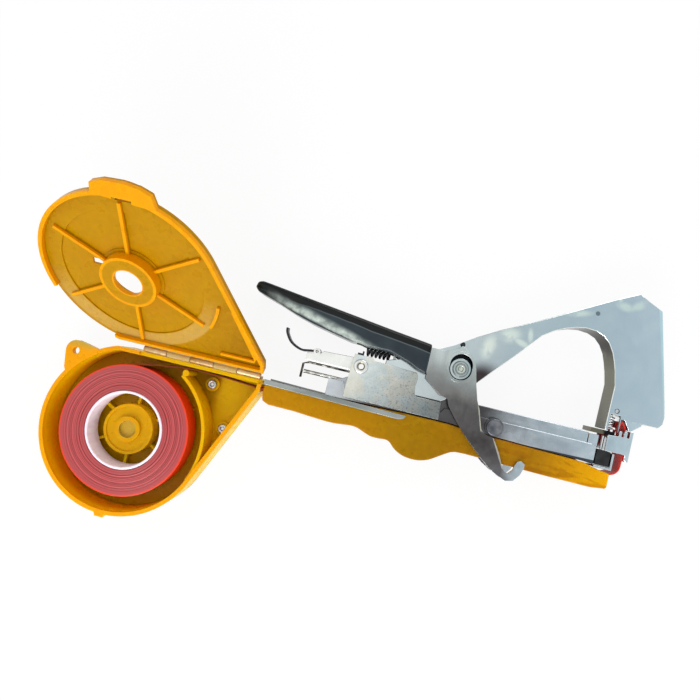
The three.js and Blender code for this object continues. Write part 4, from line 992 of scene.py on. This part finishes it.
def fulcrum(name, side):
    """A shouldered pin outside the base channel, with a turned groove under its rounded end."""
    channel_half, channel_wall = 6, 1.2
    inside, seat, collar, end = (channel_half - channel_wall) * MM, 6.3 * MM, 7.4 * MM, 9.6 * MM
    radius, wide, tenon = 4.1 * MM, 4.5 * MM, 2.4 * MM
    halves = [
        (0, inside), (tenon, inside), (tenon, seat), (wide, seat), (wide, collar),
        (radius, collar),
    ]
    for step_in, depth in (
        (0, 1.2), (0.25, 1.1), (0, 1), (0, 0.5), (0.15, 0.15), (0.5, 0), (1, 0), (1.2, 0.12),
    ):
        halves.append((radius - step_in * MM, end - depth * MM))
    halves.append((0, end - 0.12 * MM))
    return turned(name, "worn", [(r, MID_PLANE + side * half) for r, half in halves])


def pivot_rivet():
    """The arm's hollow rivet, with a rolled flange on each side."""
    low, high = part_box("arm_pivot_rivet")
    bore, barrel, head, flange = mm(1.4, 2.4, 3.5, 1)
    dome, steps = 0.7 * flange, 8
    middle, half = (bore + head) / 2, (head - bore) / 2
    profile = []
    for side, end in ((-1, low.z), (1, high.z)):
        rolled = []
        for step in range(steps + 1):
            angle = math.pi * step / steps
            rise = dome * math.sin(angle)
            rolled.append((middle - half * math.cos(angle), end - side * (dome - rise)))
        rolled += [(head, end - side * flange), (barrel, end - side * flange)]
        profile += rolled if side < 0 else rolled[::-1]
    return turned("arm_pivot_rivet", "rivet", [*profile, profile[0]])


def washer(name):
    low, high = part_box(name)
    outer, bore, edge = (high.x - low.x) / 2, 2.7 * MM, 0.25 * MM
    return turned(name, "pin", [
        (bore, low.z), (outer - edge, low.z), (outer, low.z + edge), (outer, high.z - edge),
        (outer - edge, high.z), (bore, high.z), (bore, low.z),
    ])


lever_pin()
fulcrum("fulcrum_pin_near", 1)
fulcrum("fulcrum_pin_far", -1)
pivot_rivet()
washer("lever_washer_near")
washer("lever_washer_far")


# Sheet metal, grip, magazine, latch and nose, each with its look and the width of its broken edges

for name, look, width in (
    ("guide_grip", "grip", 0.4), ("side_rail_near", "rail", 0.2), ("side_rail_far", "rail", 0.2),
    ("base_channel", "channel", 0.2), ("rear_bracket", "zinc", 0.25), ("magazine_pin", "steel", 0.2),
    ("spring_seat", "dark", 0.15), ("clincher_arm", "arm", 0.3), ("arm_stop_pin", "dark", 0.2),
    ("operating_lever", "lever", 0.25), ("magazine_channel", "channel", 0.2),
    ("magazine_gate", "channel", 0.15), ("staple_stick", "wire", 0.08),
    ("driver_blade", "blade", 0.05), ("latch_housing", "latch", 0.2), ("latch_pin", "steel", 0.1),
    ("thumb_leaf", "black", 0.15), ("pusher_block", "steel", 0.15), ("pusher_rod", "rod", 0.1),
    ("pull_wire", "rod", 0), ("nose_block", "black", 0.15), ("nose_frame", "chrome", 0.15),
    ("guide_post_near", "steel", 0.1), ("guide_post_far", "steel", 0.1),
    ("cutter_blade", "blade", 0.05), ("anvil_block", "anvil", 0.15), ("catch_pin", "steel", 0.15),
    ("tape_catch", "chrome", 0.15), ("catch_block", "chrome", 0.2),
):
    dressed(name, look, width * MM)


# Floor, light and camera

def ground(half=2, drop=0.4 * MM, grey=0.9, glow_share=0.9):
    """A pale floor that a camera, a reflection and a see-through piece find white."""
    mesh = bpy.data.meshes.new("floor")
    corners = [(-half, -half, 0), (half, -half, 0), (half, half, 0), (-half, half, 0)]
    mesh.from_pydata(corners, [], [(0, 1, 2, 3)])
    floor = bpy.data.objects.new("floor", mesh)
    floor.location.z = -drop
    bpy.context.scene.collection.objects.link(floor)
    material = bpy.data.materials.new("floor_white")
    material.use_nodes = True
    material.node_tree.nodes.clear()
    surface = Nodes(material.node_tree)
    path = surface.add("ShaderNodeLightPath")
    seen = path.outputs["Is Camera Ray"]
    for ray in ("Is Glossy Ray", "Is Transmission Ray"):
        seen = surface.math("MAXIMUM", seen, path.outputs[ray])
    mixed = surface.add("ShaderNodeMixShader")
    surface.feed(mixed.inputs[0], surface.times(seen, glow_share))
    diffuse = surface.add("ShaderNodeBsdfDiffuse", Color=(grey, grey, grey, 1))
    surface.feed(mixed.inputs[1], diffuse.outputs[0])
    surface.feed(mixed.inputs[2], surface.add("ShaderNodeEmission").outputs[0])
    surface.add("ShaderNodeOutputMaterial", Surface=mixed.outputs[0])
    mesh.materials.append(material)


def studio():
    """Soft light all round: white overhead, cooler by the jaws, a dark patch, greyer behind."""
    world = bpy.data.worlds.new("studio")
    bpy.context.scene.world = world
    world.use_nodes = True
    world.node_tree.nodes.clear()
    sky = Nodes(world.node_tree)
    ahead = sky.add("ShaderNodeTexCoord").outputs["Generated"]
    # The direction, divided by its rise, is laid out flat, so a spot's place is a slope
    rise = sky.math("MAXIMUM", sky.axis("Z", ahead), 0.05)
    lengths = sky.add("ShaderNodeCombineXYZ", X=rise, Y=rise, Z=rise)
    flat = sky.add("ShaderNodeVectorMath", {"operation": "DIVIDE"})
    sky.feed(flat.inputs[0], ahead)
    sky.feed(flat.inputs[1], lengths.outputs[0])
    sky.place = flat.outputs[0]
    cool = sky.spot((0.5, 0.12, 1), 0.1, 0.5, (1, 0.9, 0))
    core = sky.spot((0.24, -0.08, 1), 0.03, 0.17, UPRIGHT)
    behind = sky.spread(sky.axis("Y", ahead), 0.35, 0.8, smooth=True)
    colour = sky.mix(cool, rgb(246, 247, 246), rgb(188, 206, 214))
    colour = sky.mix(sky.times(core, 0.85), colour, rgb(92, 76, 66))
    colour = sky.mix(sky.times(behind, 0.75), colour, rgb(120, 124, 128))
    seen = sky.add("ShaderNodeLightPath").outputs["Is Camera Ray"]
    background = sky.add("ShaderNodeBackground", Color=sky.mix(seen, colour, (1, 1, 1, 1)))
    sky.add("ShaderNodeOutputWorld", Surface=background.outputs[0])


def lamp(name, place, size, power):
    """A soft square lamp."""
    data = bpy.data.lights.new(name, "AREA")
    data.shape = "SQUARE"
    data.size = size
    data.energy = power
    light = bpy.data.objects.new(name, data)
    light.location = place
    aim = Vector(LAMP_TARGET) - Vector(place)
    light.rotation_euler = aim.to_track_quat("-Z", "Y").to_euler()
    bpy.context.scene.collection.objects.link(light)


def camera():
    turns = Matrix.Identity(3)
    for axis, degrees in CAMERA_TURNS:
        turns = turns @ Matrix.Rotation(math.radians(degrees), 3, axis)
    data = bpy.data.cameras.new("photo_camera")
    data.sensor_fit = "HORIZONTAL"
    data.sensor_width = SENSOR
    data.lens = CAMERA_LENS
    data.clip_start = 0.01
    seen_from = bpy.data.objects.new("photo_camera", data)
    seen_from.matrix_world = Matrix.Translation(CAMERA_PLACE) @ turns.transposed().to_4x4()
    bpy.context.scene.collection.objects.link(seen_from)
    bpy.context.scene.camera = seen_from


ground()
studio()
for lamp_values in LAMPS:
    lamp(*lamp_values)
camera()
bpy.context.scene.view_settings.view_transform = "Standard"
